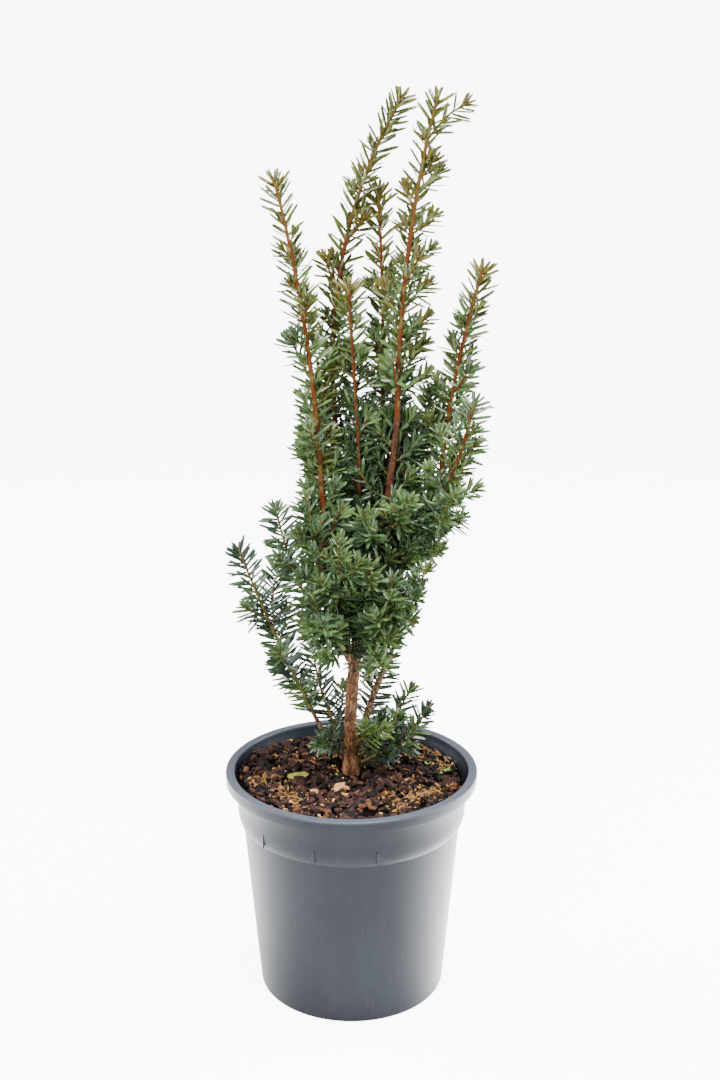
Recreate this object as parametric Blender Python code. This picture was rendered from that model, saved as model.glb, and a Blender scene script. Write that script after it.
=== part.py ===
"""Dwarf Japanese yew growing in a round nursery pot, as separate closed solids.

Metres, +Z up. The origin is the centre of the pot's flat underside, and -Y is the front.
The trunk rises from bark soil, forks low down and runs on through the crown. Boughs leave it,
and every leader, side shoot and tuft is one mass: a tapering stem, twigs that branch from it
by a seeded rule, and needles whose roots are sunk in the stem and the twigs.
Places and lengths in the tables are millimetres, and MM turns them into metres.
"""

import math
import random
from collections import namedtuple

import bmesh
import bpy
import numpy as np
from mathutils import Vector

MM = 0.001
CLEARANCE = 0.3
SEED = 27
GOLDEN_ANGLE = math.radians(137.508)

# Pot, by radii and heights over the underside
POT_HEIGHT = 175.0
RIM_RADIUS = 95.0
RIM_INNER_RADIUS = 88.2
RIM_DROP = 8.5
RIM_ROUND = 0.8
UNDER_RIM = POT_HEIGHT - RIM_DROP
RIM_FLARE = (UNDER_RIM - 3.0, UNDER_RIM + 2.0)
COLLAR_RADIUS = 86.2
COLLAR_BOTTOM = 134.5
SHOULDER_HEIGHT = 9.5
LEDGE_WIDTH = 3.9
BASE_RADIUS = 70.4
BASE_ROUND = 2.6
WALL = 1.4
FLOOR = 2.2
POT_SIDES = 36
DRAIN_HOLES = 8
DRAIN_RING_RADIUS = 52.0
DRAIN_HOLE_RADIUS = 5.5
PANEL_ANGLES = (-137.8, -107.8, -77.6)
PANEL_RIB_HEIGHT = 10.0
PANEL_RIB_WIDTH = 1.2
PANEL_RIB_PROUD = 0.6

# Soil: it fills the pot, a little rough and sloping on top, level where the trunk stands
SOIL_LEVEL = 166.0
SOIL_SLOPE = (-0.045, -0.03)
SOIL_SLOPE_RIGHT = -0.012
SOIL_ROUGHNESS = 1.0
SOIL_RINGS = (24.0, 50.0, 72.0)
SOIL_LIP = 1.0
FOOT_PATCH = 13.0

# Trunk, from its cut at the soil to the point where it goes on as the main leader
TRUNK_FOOT = (0.0, 11.0, SOIL_LEVEL + CLEARANCE)
TRUNK_COURSE = (
    TRUNK_FOOT, (-0.5, 8.5, 215.0), (5.0, 5.5, 277.0), (17.0, 1.0, 333.0), (27.5, -5.0, 395.0),
    (32.5, -8.0, 443.0),
)
TRUNK_SIDES = 10
TRUNK_RINGS = 16
FLARE_RADIUS = 8.2
FLARE_HOLLOW = 0.1
FLARE_HEIGHT = 24.0
FLARE_LOBES = 5
STEM_RADIUS = 4.7
FORK_HEIGHT = 268.0
ABOVE_FORK_RADIUS = 3.5
TRUNK_TIP_RADIUS = 2.3

# A limb leaves its carrier's side at a height, or goes on from the carrier's tip, and heads for
# its knee
TIP = None
Limb = namedtuple("Limb", "name carrier height knee tip foot_radius tip_radius")
BOUGHS = (
    Limb("bough_left", "trunk", 260, (-12, -8, 290), (-19, -16, 334), 3.1, 2.2),
    Limb("bough_middle", "trunk", 266, (6, 17, 315), (-2, 18, 366), 2.7, 2.1),
    Limb("bough_right", "trunk", 334, (50, 7, 355), (64, 6, 396), 2.4, 1.7),
    Limb("bough_back", "trunk", 183, (9, 25, 212), (30, 33, 254), 3.3, 2.3),
    Limb("bough_low_left", "trunk", 177, (-17, 17, 184), (-28, 19, 208), 2.2, 1.6),
)

# A mass grows on in the same way. Its habit sets needles and twigs, growth is its number of twigs,
# and arms are side shoots of their own: each a share of the stem and a tip.
Mass = namedtuple("Mass", "name carrier height knee tip foot_radius habit growth arms")
MASSES = (
    Mass("leader_left", "bough_left", TIP, (-19, -21, 480), (-51, -9, 606), 2.2, "leader", 7, ()),
    Mass("leader_middle", "bough_middle", TIP, (-36, 17, 541), (34, 0, 660), 2.1, "leader", 7, ()),
    Mass("leader_middle_front", "bough_middle", 352, (2, -4, 440), (-1, -7, 534), 1.7, "leader", 4, ()),
    Mass("leader_centre", "trunk", 370, (29, 26, 440), (19, 10, 598), 1.8, "leader", 6, ()),
    Mass(
        "leader_main", "trunk", TIP, (33, -8, 563), (58, 2, 659), 2.3, "leader", 7,
        ((0.87, (77, 2, 656)),),
    ),
    Mass("leader_right", "bough_right", TIP, (71, 11, 473), (91, 3, 545), 1.7, "leader", 3, ()),
    Mass("leader_right_front", "bough_right", 376, (76, -11, 400), (86, -15, 455), 1.5, "leader", 2, ()),
    Mass("leader_right_back", "bough_right", 352, (44, 20, 405), (61, 18, 466), 1.4, "shoot", 3, ()),
    Mass("shoot_right_front", "bough_right", 362, (62, -16, 366), (73, -28, 394), 1.3, "shoot", 2, ()),
    Mass("shoot_right_low", "bough_right", 344, (50, -8, 338), (62, -15, 352), 1.2, "shoot", 1, ()),
    Mass("shoot_left_front", "bough_left", 322, (-24, -28, 348), (-31, -31, 391), 1.3, "shoot", 2, ()),
    Mass("shoot_left_outer", "bough_left", 288, (-42, -11, 322), (-53, -20, 380), 1.5, "shoot", 4, ()),
    Mass("shoot_left_inner", "bough_left", 272, (-21, -24, 288), (-27, -35, 323), 1.3, "shoot", 2, ()),
    Mass("shoot_front_left", "bough_left", 305, (-8, -28, 330), (-9, -36, 361), 1.2, "shoot", 2, ()),
    Mass("shoot_front_low", "trunk", 252, (25, -18, 272), (29, -32, 332), 1.5, "shoot", 3, ()),
    Mass("shoot_front_right", "trunk", 274, (42, -8, 296), (54, -25, 338), 1.6, "shoot", 3, ()),
    Mass("shoot_front_middle", "trunk", 298, (12, -20, 310), (13, -31, 340), 1.2, "shoot", 2, ()),
    Mass("shoot_front_upper", "trunk", 345, (13, -18, 356), (9, -28, 378), 1.2, "shoot", 2, ()),
    Mass("shoot_front_high", "trunk", 362, (36, -24, 366), (38, -34, 390), 1.2, "shoot", 2, ()),
    Mass(
        "shoot_low_left", "bough_low_left", TIP, (-56, 25, 264), (-82, 8, 342), 1.6, "shoot", 4,
        ((0.55, (-54, 24, 326)),),
    ),
    Mass("shoot_low_back", "trunk", 190, (-24, 27, 206), (-30, 27, 260), 1.2, "shoot", 2, ()),
    Mass("shoot_low_right_back", "trunk", 176, (30, 31, 182), (45, 38, 222), 1.2, "shoot", 1, ()),
    Mass("shoot_low_right", "trunk", 173, (50, 17, 170), (57, 18, 214), 1.2, "shoot", 1, ()),
    Mass("tuft_low_left", "trunk", 188, (-17, -4, 200), (-25, -12, 198), 1.2, "tuft", 1, ()),
    Mass("tuft_low_right", "trunk", 192, (16, 1, 203), (26, -2, 206), 1.2, "tuft", 1, ()),
    Mass("shoot_back_right", "bough_back", TIP, (44, 38, 285), (50, 36, 318), 1.8, "shoot", 4, ()),
    Mass("shoot_back_low", "bough_back", 226, (8, 46, 262), (6, 50, 312), 1.4, "shoot", 3, ()),
    Mass("shoot_back_left", "bough_middle", 288, (-22, 34, 305), (-28, 44, 350), 1.4, "shoot", 3, ()),
    Mass("shoot_back_middle", "trunk", 306, (22, 32, 345), (26, 42, 396), 1.4, "shoot", 3, ()),
    Mass("shoot_back_upper", "bough_middle", 330, (-18, 34, 370), (-32, 36, 436), 1.3, "shoot", 3, ()),
    Mass("shoot_back_high", "trunk", 350, (46, 32, 372), (46, 42, 436), 1.3, "shoot", 3, ()),
)

# Habit: needle length, spacing and lean from its stem, twig length and lean, how level the needles
# spread, and the shares of the stem between which twigs grow
Habit = namedtuple("Habit", "needle spacing lean twig twig_lean level first_twig last_twig")
HABITS = {
    "leader": Habit(18.0, 11.6, 50.0, 26.0, 38.0, 0.0, 0.03, 0.8),
    "shoot": Habit(20.0, 11.6, 62.0, 26.0, 46.0, 0.45, 0.1, 0.7),
    "tuft": Habit(19.0, 4.6, 64.0, 12.0, 60.0, 0.2, 0.3, 0.5),
}
STEM_TIP_RADII = {"leader": 1.1, "shoot": 0.7, "tuft": 0.7}
STEM_RING_SPACING = 28.0
BOUGH_SIDES = 8
STEM_SIDES = 4
TWIG_SIDES = 3
TWIG_RADIUS = 0.95
TWIG_TIP_RADIUS = 0.5
TWIG_ROOM = 6.0
FIRST_NEEDLE = 5.0
FIRST_ON_TWIG = 8.0
NEEDLE_WIDTH = 3.8
NEEDLE_THICKNESS = 1.0
NEEDLE_WIDEST = 0.32
NEEDLE_SPOTS = ((NEEDLE_WIDEST, 1.0), (0.55, 0.66), (0.8, 0.3), (1.0, 0.0))
NEEDLE_SHARES = (1.0, 0.85, 0.7, 0.5)
STEM_TIP_NEEDLES = 3
TWIG_TIP_NEEDLES = 2
TIP_NEEDLE_SHARE = 0.75
TIP_LEAN = 24.0
SOIL_ROOM = 4.0
RIM_ROOM = 4.0


def place(point):
    return Vector(point) * MM


def material(name, colour, roughness):
    made = bpy.data.materials.new(name)
    made.use_nodes = True
    shader = made.node_tree.nodes["Principled BSDF"]
    shader.inputs["Base Color"].default_value = (*colour, 1.0)
    shader.inputs["Roughness"].default_value = roughness
    shader.inputs["Metallic"].default_value = 0.0
    return made


def add_object(name, bm, surface=None, sharp_angle=None, collection=None):
    mesh = bpy.data.meshes.new(name)
    bm.to_mesh(mesh)
    bm.free()
    if sharp_angle is not None:
        mesh.shade_smooth()
        mesh.set_sharp_from_angle(angle=math.radians(sharp_angle))
    made = bpy.data.objects.new(name, mesh)
    (collection or bpy.context.scene.collection).objects.link(made)
    if surface is not None:
        mesh.materials.append(surface)
    return made


def apply_modifiers(thing):
    """Replace an object's mesh by the one its modifiers give, and take the modifiers away."""
    bpy.context.view_layer.update()
    evaluated = thing.evaluated_get(bpy.context.evaluated_depsgraph_get())
    mesh = bpy.data.meshes.new_from_object(evaluated)
    thing.modifiers.clear()
    thing.data = mesh


def fuse(thing, collection, operation="UNION"):
    """Join or cut a thing with every object of a collection at once, then remove those objects."""
    boolean = thing.modifiers.new(operation.lower(), "BOOLEAN")
    boolean.operation = operation
    boolean.operand_type = "COLLECTION"
    boolean.collection = collection
    boolean.solver = "EXACT"
    apply_modifiers(thing)
    for member in list(collection.objects):
        bpy.data.objects.remove(member)
    bpy.data.collections.remove(collection)


def new_collection(name):
    made = bpy.data.collections.new(name)
    bpy.context.scene.collection.children.link(made)
    return made


def signed_volume(faces):
    total = 0.0
    for face in faces:
        first = face.verts[0].co
        for second, third in zip(face.verts[1:-1], face.verts[2:]):
            total += first.dot(second.co.cross(third.co)) / 6.0
    return total


def keep_one_body(thing):
    """Fill sealed hollows and drop loose scraps: only the largest closed shell stays."""
    bm = bmesh.new()
    bm.from_mesh(thing.data)
    waiting = set(bm.faces)
    shells = []
    while waiting:
        shell = set()
        front = [waiting.pop()]
        while front:
            face = front.pop()
            shell.add(face)
            for edge in face.edges:
                for neighbour in edge.link_faces:
                    if neighbour in waiting:
                        waiting.remove(neighbour)
                        front.append(neighbour)
        shells.append(shell)
    largest = max(shells, key=signed_volume)
    spare = [face for shell in shells if shell is not largest for face in shell]
    bmesh.ops.delete(bm, geom=spare, context="FACES")
    bm.to_mesh(thing.data)
    bm.free()


def turned(profile, sides):
    """Turn a profile of (radius, height) about the Z axis; it starts and ends on the axis."""
    bm = bmesh.new()
    rings = []
    for radius, height in profile:
        if radius == 0.0:
            rings.append([bm.verts.new((0.0, 0.0, height * MM))] * sides)
            continue
        ring = []
        for step in range(sides):
            angle = 2.0 * math.pi * step / sides
            ring.append(bm.verts.new(place((radius * math.cos(angle), radius * math.sin(angle), height))))
        rings.append(ring)
    for first, second in zip(rings, rings[1:]):
        for step in range(sides):
            after = (step + 1) % sides
            corners = []
            for corner in (first[step], second[step], second[after], first[after]):
                if corner not in corners:
                    corners.append(corner)
            bm.faces.new(corners)
    return bm


def arc(centre, radius, start, end, steps):
    points = []
    for step in range(steps + 1):
        angle = math.radians(start + (end - start) * step / steps)
        points.append((centre[0] + radius * math.cos(angle), centre[1] + radius * math.sin(angle)))
    return points


def body_radius(height):
    """Outer radius of the tapering body under the ledge."""
    top_radius = COLLAR_RADIUS - LEDGE_WIDTH
    return BASE_RADIUS + (top_radius - BASE_RADIUS) * height / COLLAR_BOTTOM


def inner_profile(spare):
    """The pot's inside from the floor's edge up to the collar's top, drawn in by a spare gap."""
    inset = WALL + spare
    return [
        (BASE_RADIUS - BASE_ROUND - spare, FLOOR + spare),
        (body_radius(BASE_ROUND + 1.0) - inset, BASE_ROUND + 1.5),
        (body_radius(COLLAR_BOTTOM) - inset, COLLAR_BOTTOM + 0.5 * WALL),
        (COLLAR_RADIUS - inset, COLLAR_BOTTOM + SHOULDER_HEIGHT),
    ]


def inner_radius(height):
    """The pot's inside over the ledge, which widens from the collar to the rim."""
    share = min(1.0, max(0.0, (height - RIM_FLARE[0]) / (RIM_FLARE[1] - RIM_FLARE[0])))
    collar = COLLAR_RADIUS - WALL
    return collar + (RIM_INNER_RADIUS - RIM_ROUND - collar) * share


def make_pot(surface):
    inside = [(0.0, FLOOR)] + inner_profile(0.0)
    inside += [(inner_radius(height), height) for height in RIM_FLARE]
    rim = arc((RIM_INNER_RADIUS + RIM_ROUND, POT_HEIGHT - RIM_ROUND), RIM_ROUND, 180, 90, 2)
    rim += arc((RIM_RADIUS - RIM_ROUND, POT_HEIGHT - RIM_ROUND), RIM_ROUND, 90, 0, 2)
    skirt = [
        (RIM_RADIUS - 0.3, UNDER_RIM + 0.4),
        (RIM_RADIUS - 0.7, UNDER_RIM),
        (RIM_RADIUS - WALL, UNDER_RIM),
        (RIM_RADIUS - WALL, POT_HEIGHT - 2.2 * WALL),
        (RIM_INNER_RADIUS + WALL, POT_HEIGHT - 2.2 * WALL),
        (RIM_INNER_RADIUS + 0.4, UNDER_RIM + 1.2),
        (COLLAR_RADIUS + 0.2, UNDER_RIM - 3.4),
    ]
    outside = [
        (COLLAR_RADIUS, COLLAR_BOTTOM + SHOULDER_HEIGHT),
        (COLLAR_RADIUS - 0.3 * LEDGE_WIDTH, COLLAR_BOTTOM + 0.4 * SHOULDER_HEIGHT),
        (body_radius(COLLAR_BOTTOM), COLLAR_BOTTOM),
        (body_radius(BASE_ROUND), BASE_ROUND),
    ]
    corner = arc((body_radius(BASE_ROUND) - BASE_ROUND, BASE_ROUND), BASE_ROUND, -30, -90, 2)
    pot = add_object("pot", turned(inside + rim + skirt + outside + corner + [(0.0, 0.0)], POT_SIDES))

    ribs = new_collection("ribs")
    for angle in PANEL_ANGLES:
        bm = bmesh.new()
        bmesh.ops.create_cube(bm, size=1.0)
        depth = PANEL_RIB_PROUD + 0.5 * WALL
        bmesh.ops.scale(bm, vec=place((depth, PANEL_RIB_WIDTH, PANEL_RIB_HEIGHT)), verts=bm.verts)
        rib = add_object("rib", bm, collection=ribs)
        turn = math.radians(angle)
        out = COLLAR_RADIUS + PANEL_RIB_PROUD - 0.5 * depth
        height = COLLAR_BOTTOM + 2.0 + 0.5 * PANEL_RIB_HEIGHT
        rib.location = place((out * math.cos(turn), out * math.sin(turn), height))
        rib.rotation_euler.z = turn
    fuse(pot, ribs)

    holes = new_collection("holes")
    for step in range(DRAIN_HOLES):
        bm = bmesh.new()
        bmesh.ops.create_cone(
            bm, cap_ends=True, segments=10, radius1=DRAIN_HOLE_RADIUS * MM,
            radius2=DRAIN_HOLE_RADIUS * MM, depth=4.0 * FLOOR * MM,
        )
        hole = add_object("hole", bm, collection=holes)
        angle = 2.0 * math.pi * (step + 0.5) / DRAIN_HOLES
        hole.location = place((math.cos(angle), math.sin(angle), 0.0)) * DRAIN_RING_RADIUS
    fuse(pot, holes, "DIFFERENCE")
    pot.data.materials.clear()
    pot.data.materials.append(surface)
    pot.data.shade_smooth()
    pot.data.set_sharp_from_angle(angle=math.radians(28.0))


def soil_height(x, y):
    """Rough bark surface, level under and round the trunk."""
    waves = math.sin(0.13 * x + 0.4) * math.cos(0.11 * y - 0.7) + 0.6 * math.sin(0.23 * x - 0.19 * y)
    slope = (SOIL_SLOPE[0] if x < 0.0 else SOIL_SLOPE_RIGHT) * x + SOIL_SLOPE[1] * y
    from_foot = math.hypot(x - TRUNK_FOOT[0], y - TRUNK_FOOT[1])
    share = min(1.0, max(0.0, (from_foot - FOOT_PATCH) / FOOT_PATCH))
    return SOIL_LEVEL + (SOIL_ROUGHNESS * waves + slope) * share


def make_soil(surface):
    inner = inner_profile(CLEARANCE)
    edge_radius = inner[-1][0]
    profile = [(0.0, SOIL_LEVEL)] + [(radius, SOIL_LEVEL) for radius in SOIL_RINGS]
    profile += [(edge_radius, SOIL_LEVEL), (edge_radius, RIM_FLARE[0])]
    profile += inner[::-1] + [(0.0, inner[0][1])]
    bm = turned(profile, POT_SIDES)
    for vert in bm.verts:
        x, y, z = vert.co / MM
        top = soil_height(x, y)
        if z > SOIL_LEVEL - 1.0:
            vert.co.z = top * MM
            if math.hypot(x, y) > edge_radius - 1.0:
                widened = (inner_radius(top) - CLEARANCE) / edge_radius
                vert.co.x *= widened
                vert.co.y *= widened
        elif z > RIM_FLARE[0] - 1.0:
            vert.co.z = min(RIM_FLARE[0], top - SOIL_LIP) * MM
    add_object("soil", bm, surface, 35.0)


def curve_through(points, count):
    """A smooth course through the points, evenly stepped between each two."""
    spots = [place(point) for point in points]
    ends = [2.0 * spots[0] - spots[1]] + spots + [2.0 * spots[-1] - spots[-2]]
    course = []
    for step in range(count + 1):
        along = step / count * (len(spots) - 1)
        index = min(int(along), len(spots) - 2)
        t = along - index
        before, start, end, after = ends[index:index + 4]
        course.append(0.5 * (
            2.0 * start + (end - before) * t
            + (2.0 * before - 5.0 * start + 4.0 * end - after) * t * t
            + (3.0 * start - before - 3.0 * end + after) * t ** 3
        ))
    return course


def tangent_at(points, index):
    return (points[min(index + 1, len(points) - 1)] - points[max(index - 1, 0)]).normalized()


def any_side(direction):
    other = Vector((1.0, 0.0, 0.0)) if abs(direction.x) < 0.7 else Vector((0.0, 1.0, 0.0))
    return direction.cross(other).normalized()


def tube(course, sides, foot_facing=None, swell=None):
    """A closed limb round a course, its foot cut in the plane facing foot_facing, its radii by swell."""
    bm = bmesh.new()
    rings = []
    normal = any_side(tangent_at(course.points, 0))
    for index, point in enumerate(course.points):
        tangent = tangent_at(course.points, index)
        normal = (normal - tangent * normal.dot(tangent)).normalized()
        side = tangent.cross(normal)
        ring = []
        for step in range(sides):
            angle = 2.0 * math.pi * step / sides
            radius = course.radii[index] * (swell(index, angle) if swell else 1.0)
            offset = (normal * math.cos(angle) + side * math.sin(angle)) * radius
            if index == 0 and foot_facing is not None:
                offset -= tangent * offset.dot(foot_facing) / tangent.dot(foot_facing)
            ring.append(bm.verts.new(point + offset))
        rings.append(ring)
    for lower, upper in zip(rings, rings[1:]):
        for step in range(sides):
            after = (step + 1) % sides
            bm.faces.new((lower[step], lower[after], upper[after], upper[step]))
    bm.faces.new(rings[0][::-1])
    bm.faces.new(rings[-1])
    return bm


# The course of a limb or twig, with its radii, in metres
Course = namedtuple("Course", "points radii")


def trunk_radius(height):
    """Radius by height over the soil: root flare, an even stem, then thinner past the fork."""
    if height < FLARE_HEIGHT:
        flare = (1.0 - height / FLARE_HEIGHT) ** 2
        return STEM_RADIUS + (FLARE_RADIUS - STEM_RADIUS) * flare
    fork = FORK_HEIGHT - SOIL_LEVEL
    if height < fork:
        return STEM_RADIUS
    share = (height - fork) / (TRUNK_COURSE[-1][2] - FORK_HEIGHT)
    above = ABOVE_FORK_RADIUS + (TRUNK_TIP_RADIUS - ABOVE_FORK_RADIUS) * share
    return STEM_RADIUS + (above - STEM_RADIUS) * min(1.0, share * 5.0)


def plan_trunk():
    points = curve_through(TRUNK_COURSE, TRUNK_RINGS)
    return Course(points, [trunk_radius((point.z - points[0].z) / MM) * MM for point in points])


def make_trunk(trunk, surface):
    foot = trunk.points[0].z

    def swell(index, angle):
        flare = max(0.0, 1.0 - (trunk.points[index].z - foot) / (FLARE_HEIGHT * MM))
        return 1.0 - FLARE_HOLLOW * flare * (1.0 - math.cos(FLARE_LOBES * angle))

    bm = tube(trunk, TRUNK_SIDES, Vector((0.0, 0.0, 1.0)), swell)
    add_object("trunk", bm, surface, 50.0)


def spot_at_height(carrier, height):
    """The axis point, radius and direction of a carrier at a height in metres."""
    index = 0
    while carrier.points[index + 1].z < height:
        index += 1
    below, above = carrier.points[index], carrier.points[index + 1]
    share = (height - below.z) / (above.z - below.z)
    radius = carrier.radii[index] + (carrier.radii[index + 1] - carrier.radii[index]) * share
    return below.lerp(above, share), radius, (above - below).normalized()


def plan_limb(carrier, limb, tip_radius):
    """The course of a limb that starts just clear of its carrier, and the plane of its foot."""
    knee = place(limb.knee)
    tip = place(limb.tip)
    if limb.height is TIP:
        facing = tangent_at(carrier.points, len(carrier.points) - 1)
        foot = carrier.points[-1] + facing * CLEARANCE * MM
        first = foot.lerp(knee, 2.0 / 3.0)
    else:
        axis, _, onward = spot_at_height(carrier, limb.height * MM)
        _, radius, _ = spot_at_height(carrier, (limb.height - limb.foot_radius) * MM)
        facing = knee - axis
        facing = (facing - onward * facing.dot(onward)).normalized()
        foot = axis + facing * (radius + CLEARANCE * MM)
        first = foot + (facing + 0.7 * onward).normalized() * 0.4 * (knee - foot).length
    second = tip.lerp(knee, 2.0 / 3.0)
    length = (knee - foot).length + (tip - knee).length
    rings = max(3, round(length / (STEM_RING_SPACING * MM)))
    points = []
    radii = []
    for step in range(rings + 1):
        t = step / rings
        s = 1.0 - t
        points.append(foot * s ** 3 + first * 3 * s * s * t + second * 3 * s * t * t + tip * t ** 3)
        radii.append((limb.foot_radius * s + tip_radius * t) * MM)
    return Course(points, radii), facing


def stretches(courses):
    """Starts, ends and radii of every straight stretch of some courses, as arrays."""
    starts, ends, radii = [], [], []
    for course in courses:
        for index in range(len(course.points) - 1):
            starts.append(course.points[index])
            ends.append(course.points[index + 1])
            radii.append(max(course.radii[index], course.radii[index + 1]))
    return np.array(starts), np.array(ends), np.array(radii)


def distance_to(spots, lines):
    """Distance in metres from each spot to the nearest limb surface."""
    starts, ends, radii = lines
    run = ends - starts
    from_start = spots[:, None, :] - starts[None, :, :]
    along = np.clip((from_start * run).sum(axis=2) / (run * run).sum(axis=1), 0.0, 1.0)
    gap = np.linalg.norm(from_start - along[:, :, None] * run[None, :, :], axis=2) - radii
    return gap.min(axis=1)


def in_the_clear(spots):
    """True where every spot is over the soil and clear of the pot's rim."""
    for x, y, z in spots / MM:
        inside = math.hypot(x, y) < COLLAR_RADIUS - WALL - RIM_ROOM
        over_soil = z > soil_height(x, y) + SOIL_ROOM
        if z < POT_HEIGHT + RIM_ROOM and not (inside and over_soil):
            return False
    return True


def spot_on(course, share):
    """The point and the direction at a share of a course's stretches."""
    position = share * (len(course.points) - 1)
    index = min(int(position), len(course.points) - 2)
    below, above = course.points[index], course.points[index + 1]
    return below.lerp(above, position - index), (above - below).normalized()


def twig_course(foot, middle, end):
    radii = [TWIG_RADIUS * MM, 0.85 * TWIG_RADIUS * MM, TWIG_TIP_RADIUS * MM]
    return Course([foot, middle, end], radii)


def plan_twigs(mass, stem, others, dice):
    """A mass's arms, then twigs at the golden angle, left out where they would crowd their neighbours."""
    habit = HABITS[mass.habit]
    twigs = []
    for share, tip in mass.arms:
        foot, direction = spot_on(stem, share)
        run = place(tip) - foot
        twigs.append(twig_course(foot, foot + 0.5 * run + 0.12 * run.length * direction, place(tip)))
    turn = dice.uniform(0.0, 2.0 * math.pi)
    for number in range(mass.growth):
        turn += GOLDEN_ANGLE
        share = habit.first_twig + (habit.last_twig - habit.first_twig) * (number + 0.5) / mass.growth
        foot, tangent = spot_on(stem, share)
        normal = any_side(tangent)
        radial = normal * math.cos(turn) + tangent.cross(normal) * math.sin(turn)
        lean = math.radians(habit.twig_lean)
        length = habit.twig * dice.uniform(0.8, 1.2) * (1.2 - 0.8 * share) * MM
        heading = tangent * math.cos(lean) + radial * math.sin(lean)
        middle = foot + heading * 0.5 * length
        end = middle + (heading + Vector((0.0, 0.0, 0.45))).normalized() * 0.5 * length
        spots = np.array([middle, middle.lerp(end, 0.5), end])
        if in_the_clear(spots) and distance_to(spots, others).min() > TWIG_ROOM * MM:
            twigs.append(twig_course(foot, middle, end))
    return twigs


def needle(root, heading, flat_side, length):
    """A root point inside the twig, two edges and a ridge where it is widest, and a tip."""
    bm = bmesh.new()
    ridge_side = heading.cross(flat_side)
    widest = root + heading * NEEDLE_WIDEST * length
    start = bm.verts.new(root)
    end = bm.verts.new(root + heading * length)
    ring = [
        bm.verts.new(widest + flat_side * 0.5 * NEEDLE_WIDTH * MM),
        bm.verts.new(widest + ridge_side * NEEDLE_THICKNESS * MM),
        bm.verts.new(widest - flat_side * 0.5 * NEEDLE_WIDTH * MM),
    ]
    for step in range(3):
        after = (step + 1) % 3
        bm.faces.new((ring[step], ring[after], end))
        bm.faces.new((ring[after], ring[step], start))
    return bm


def fitting_length(root, heading, length, own, others, limbs):
    """The needle's full length, a shorter one that keeps to the mass's own space, or nothing."""
    widths = np.array([share for part, share in NEEDLE_SPOTS]) * NEEDLE_WIDTH * MM
    for share in NEEDLE_SHARES:
        reach = length * share
        spots = np.array([root + heading * reach * part for part, width in NEEDLE_SPOTS])
        beyond_own = distance_to(spots, others) - distance_to(spots, own)
        off_limbs = distance_to(spots, limbs) - 0.5 * widths
        kept_clear = np.all(beyond_own > widths + CLEARANCE * MM) and np.all(off_limbs > CLEARANCE * MM)
        if kept_clear and in_the_clear(spots):
            return reach
    return 0.0


def needles_of(course, habit, first, at_tip, dice, own, others, limbs):
    """Needles by the golden angle along a course, and a few that close its tip."""
    lengths = [(b - a).length for a, b in zip(course.points, course.points[1:])]
    total = sum(lengths)
    growth = []
    at = first * MM
    while at < total - 0.4 * habit.spacing * MM:
        growth.append((at, habit.lean * dice.uniform(0.9, 1.1), 1.0))
        at += habit.spacing * MM
    for step in range(at_tip):
        growth.append((total - 1.2 * MM * (step + 1), TIP_LEAN * dice.uniform(0.8, 1.3), TIP_NEEDLE_SHARE))
    turn = dice.uniform(0.0, 2.0 * math.pi)
    for at, lean, share in growth:
        turn += GOLDEN_ANGLE
        index = 0
        while index < len(lengths) - 1 and at > lengths[index]:
            at -= lengths[index]
            index += 1
        tangent = (course.points[index + 1] - course.points[index]).normalized()
        root = course.points[index] + tangent * at
        normal = any_side(tangent)
        radial = normal * math.cos(turn) + tangent.cross(normal) * math.sin(turn)
        radial.z *= 1.0 - habit.level
        radial = (radial - tangent * radial.dot(tangent)).normalized()
        heading = tangent * math.cos(math.radians(lean)) + radial * math.sin(math.radians(lean))
        full = habit.needle * share * dice.uniform(0.88, 1.1) * MM
        length = fitting_length(root, heading, full, own, others, limbs)
        if length:
            yield needle(root, heading, tangent.cross(heading).normalized(), length)


def make_mass(mass, stem, foot_facing, twigs, others, limbs, surface, dice):
    """One solid: stem, twigs and needles joined by a single union."""
    growth = new_collection(mass.name + "_growth")
    own = stretches([stem] + twigs)
    for twig in twigs:
        add_object("twig", tube(twig, TWIG_SIDES), collection=growth)
    for course in [stem] + twigs:
        first = FIRST_NEEDLE if course is stem else FIRST_ON_TWIG
        at_tip = STEM_TIP_NEEDLES if course is stem else TWIG_TIP_NEEDLES
        for bm in needles_of(course, HABITS[mass.habit], first, at_tip, dice, own, others, limbs):
            add_object("needle", bm, collection=growth)
    body = add_object(mass.name, tube(stem, STEM_SIDES, foot_facing))
    fuse(body, growth)
    keep_one_body(body)
    body.data.materials.clear()
    body.data.materials.append(surface)


def make_plant(bark, young_bark, foliage):
    limbs = {"trunk": plan_trunk()}
    make_trunk(limbs["trunk"], bark)
    for bough in BOUGHS:
        course, foot_facing = plan_limb(limbs[bough.carrier], bough, bough.tip_radius)
        limbs[bough.name] = course
        add_object(bough.name, tube(course, BOUGH_SIDES, foot_facing), young_bark, 50.0)

    stems = {
        mass.name: plan_limb(limbs[mass.carrier], mass, STEM_TIP_RADII[mass.habit])
        for mass in MASSES
    }
    twigs = {mass.name: [] for mass in MASSES}
    dice = {mass.name: random.Random(f"{SEED} {mass.name}") for mass in MASSES}

    def courses_besides(name):
        return [
            course for mass in MASSES if mass.name != name
            for course in [stems[mass.name][0]] + twigs[mass.name]
        ]

    for mass in MASSES:
        others = stretches(courses_besides(mass.name) + list(limbs.values()))
        twigs[mass.name] = plan_twigs(mass, stems[mass.name][0], others, dice[mass.name])
    for mass in MASSES:
        stem, foot_facing = stems[mass.name]
        make_mass(
            mass, stem, foot_facing, twigs[mass.name], stretches(courses_besides(mass.name)),
            stretches(limbs.values()), foliage[mass.habit], dice[mass.name],
        )


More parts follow.
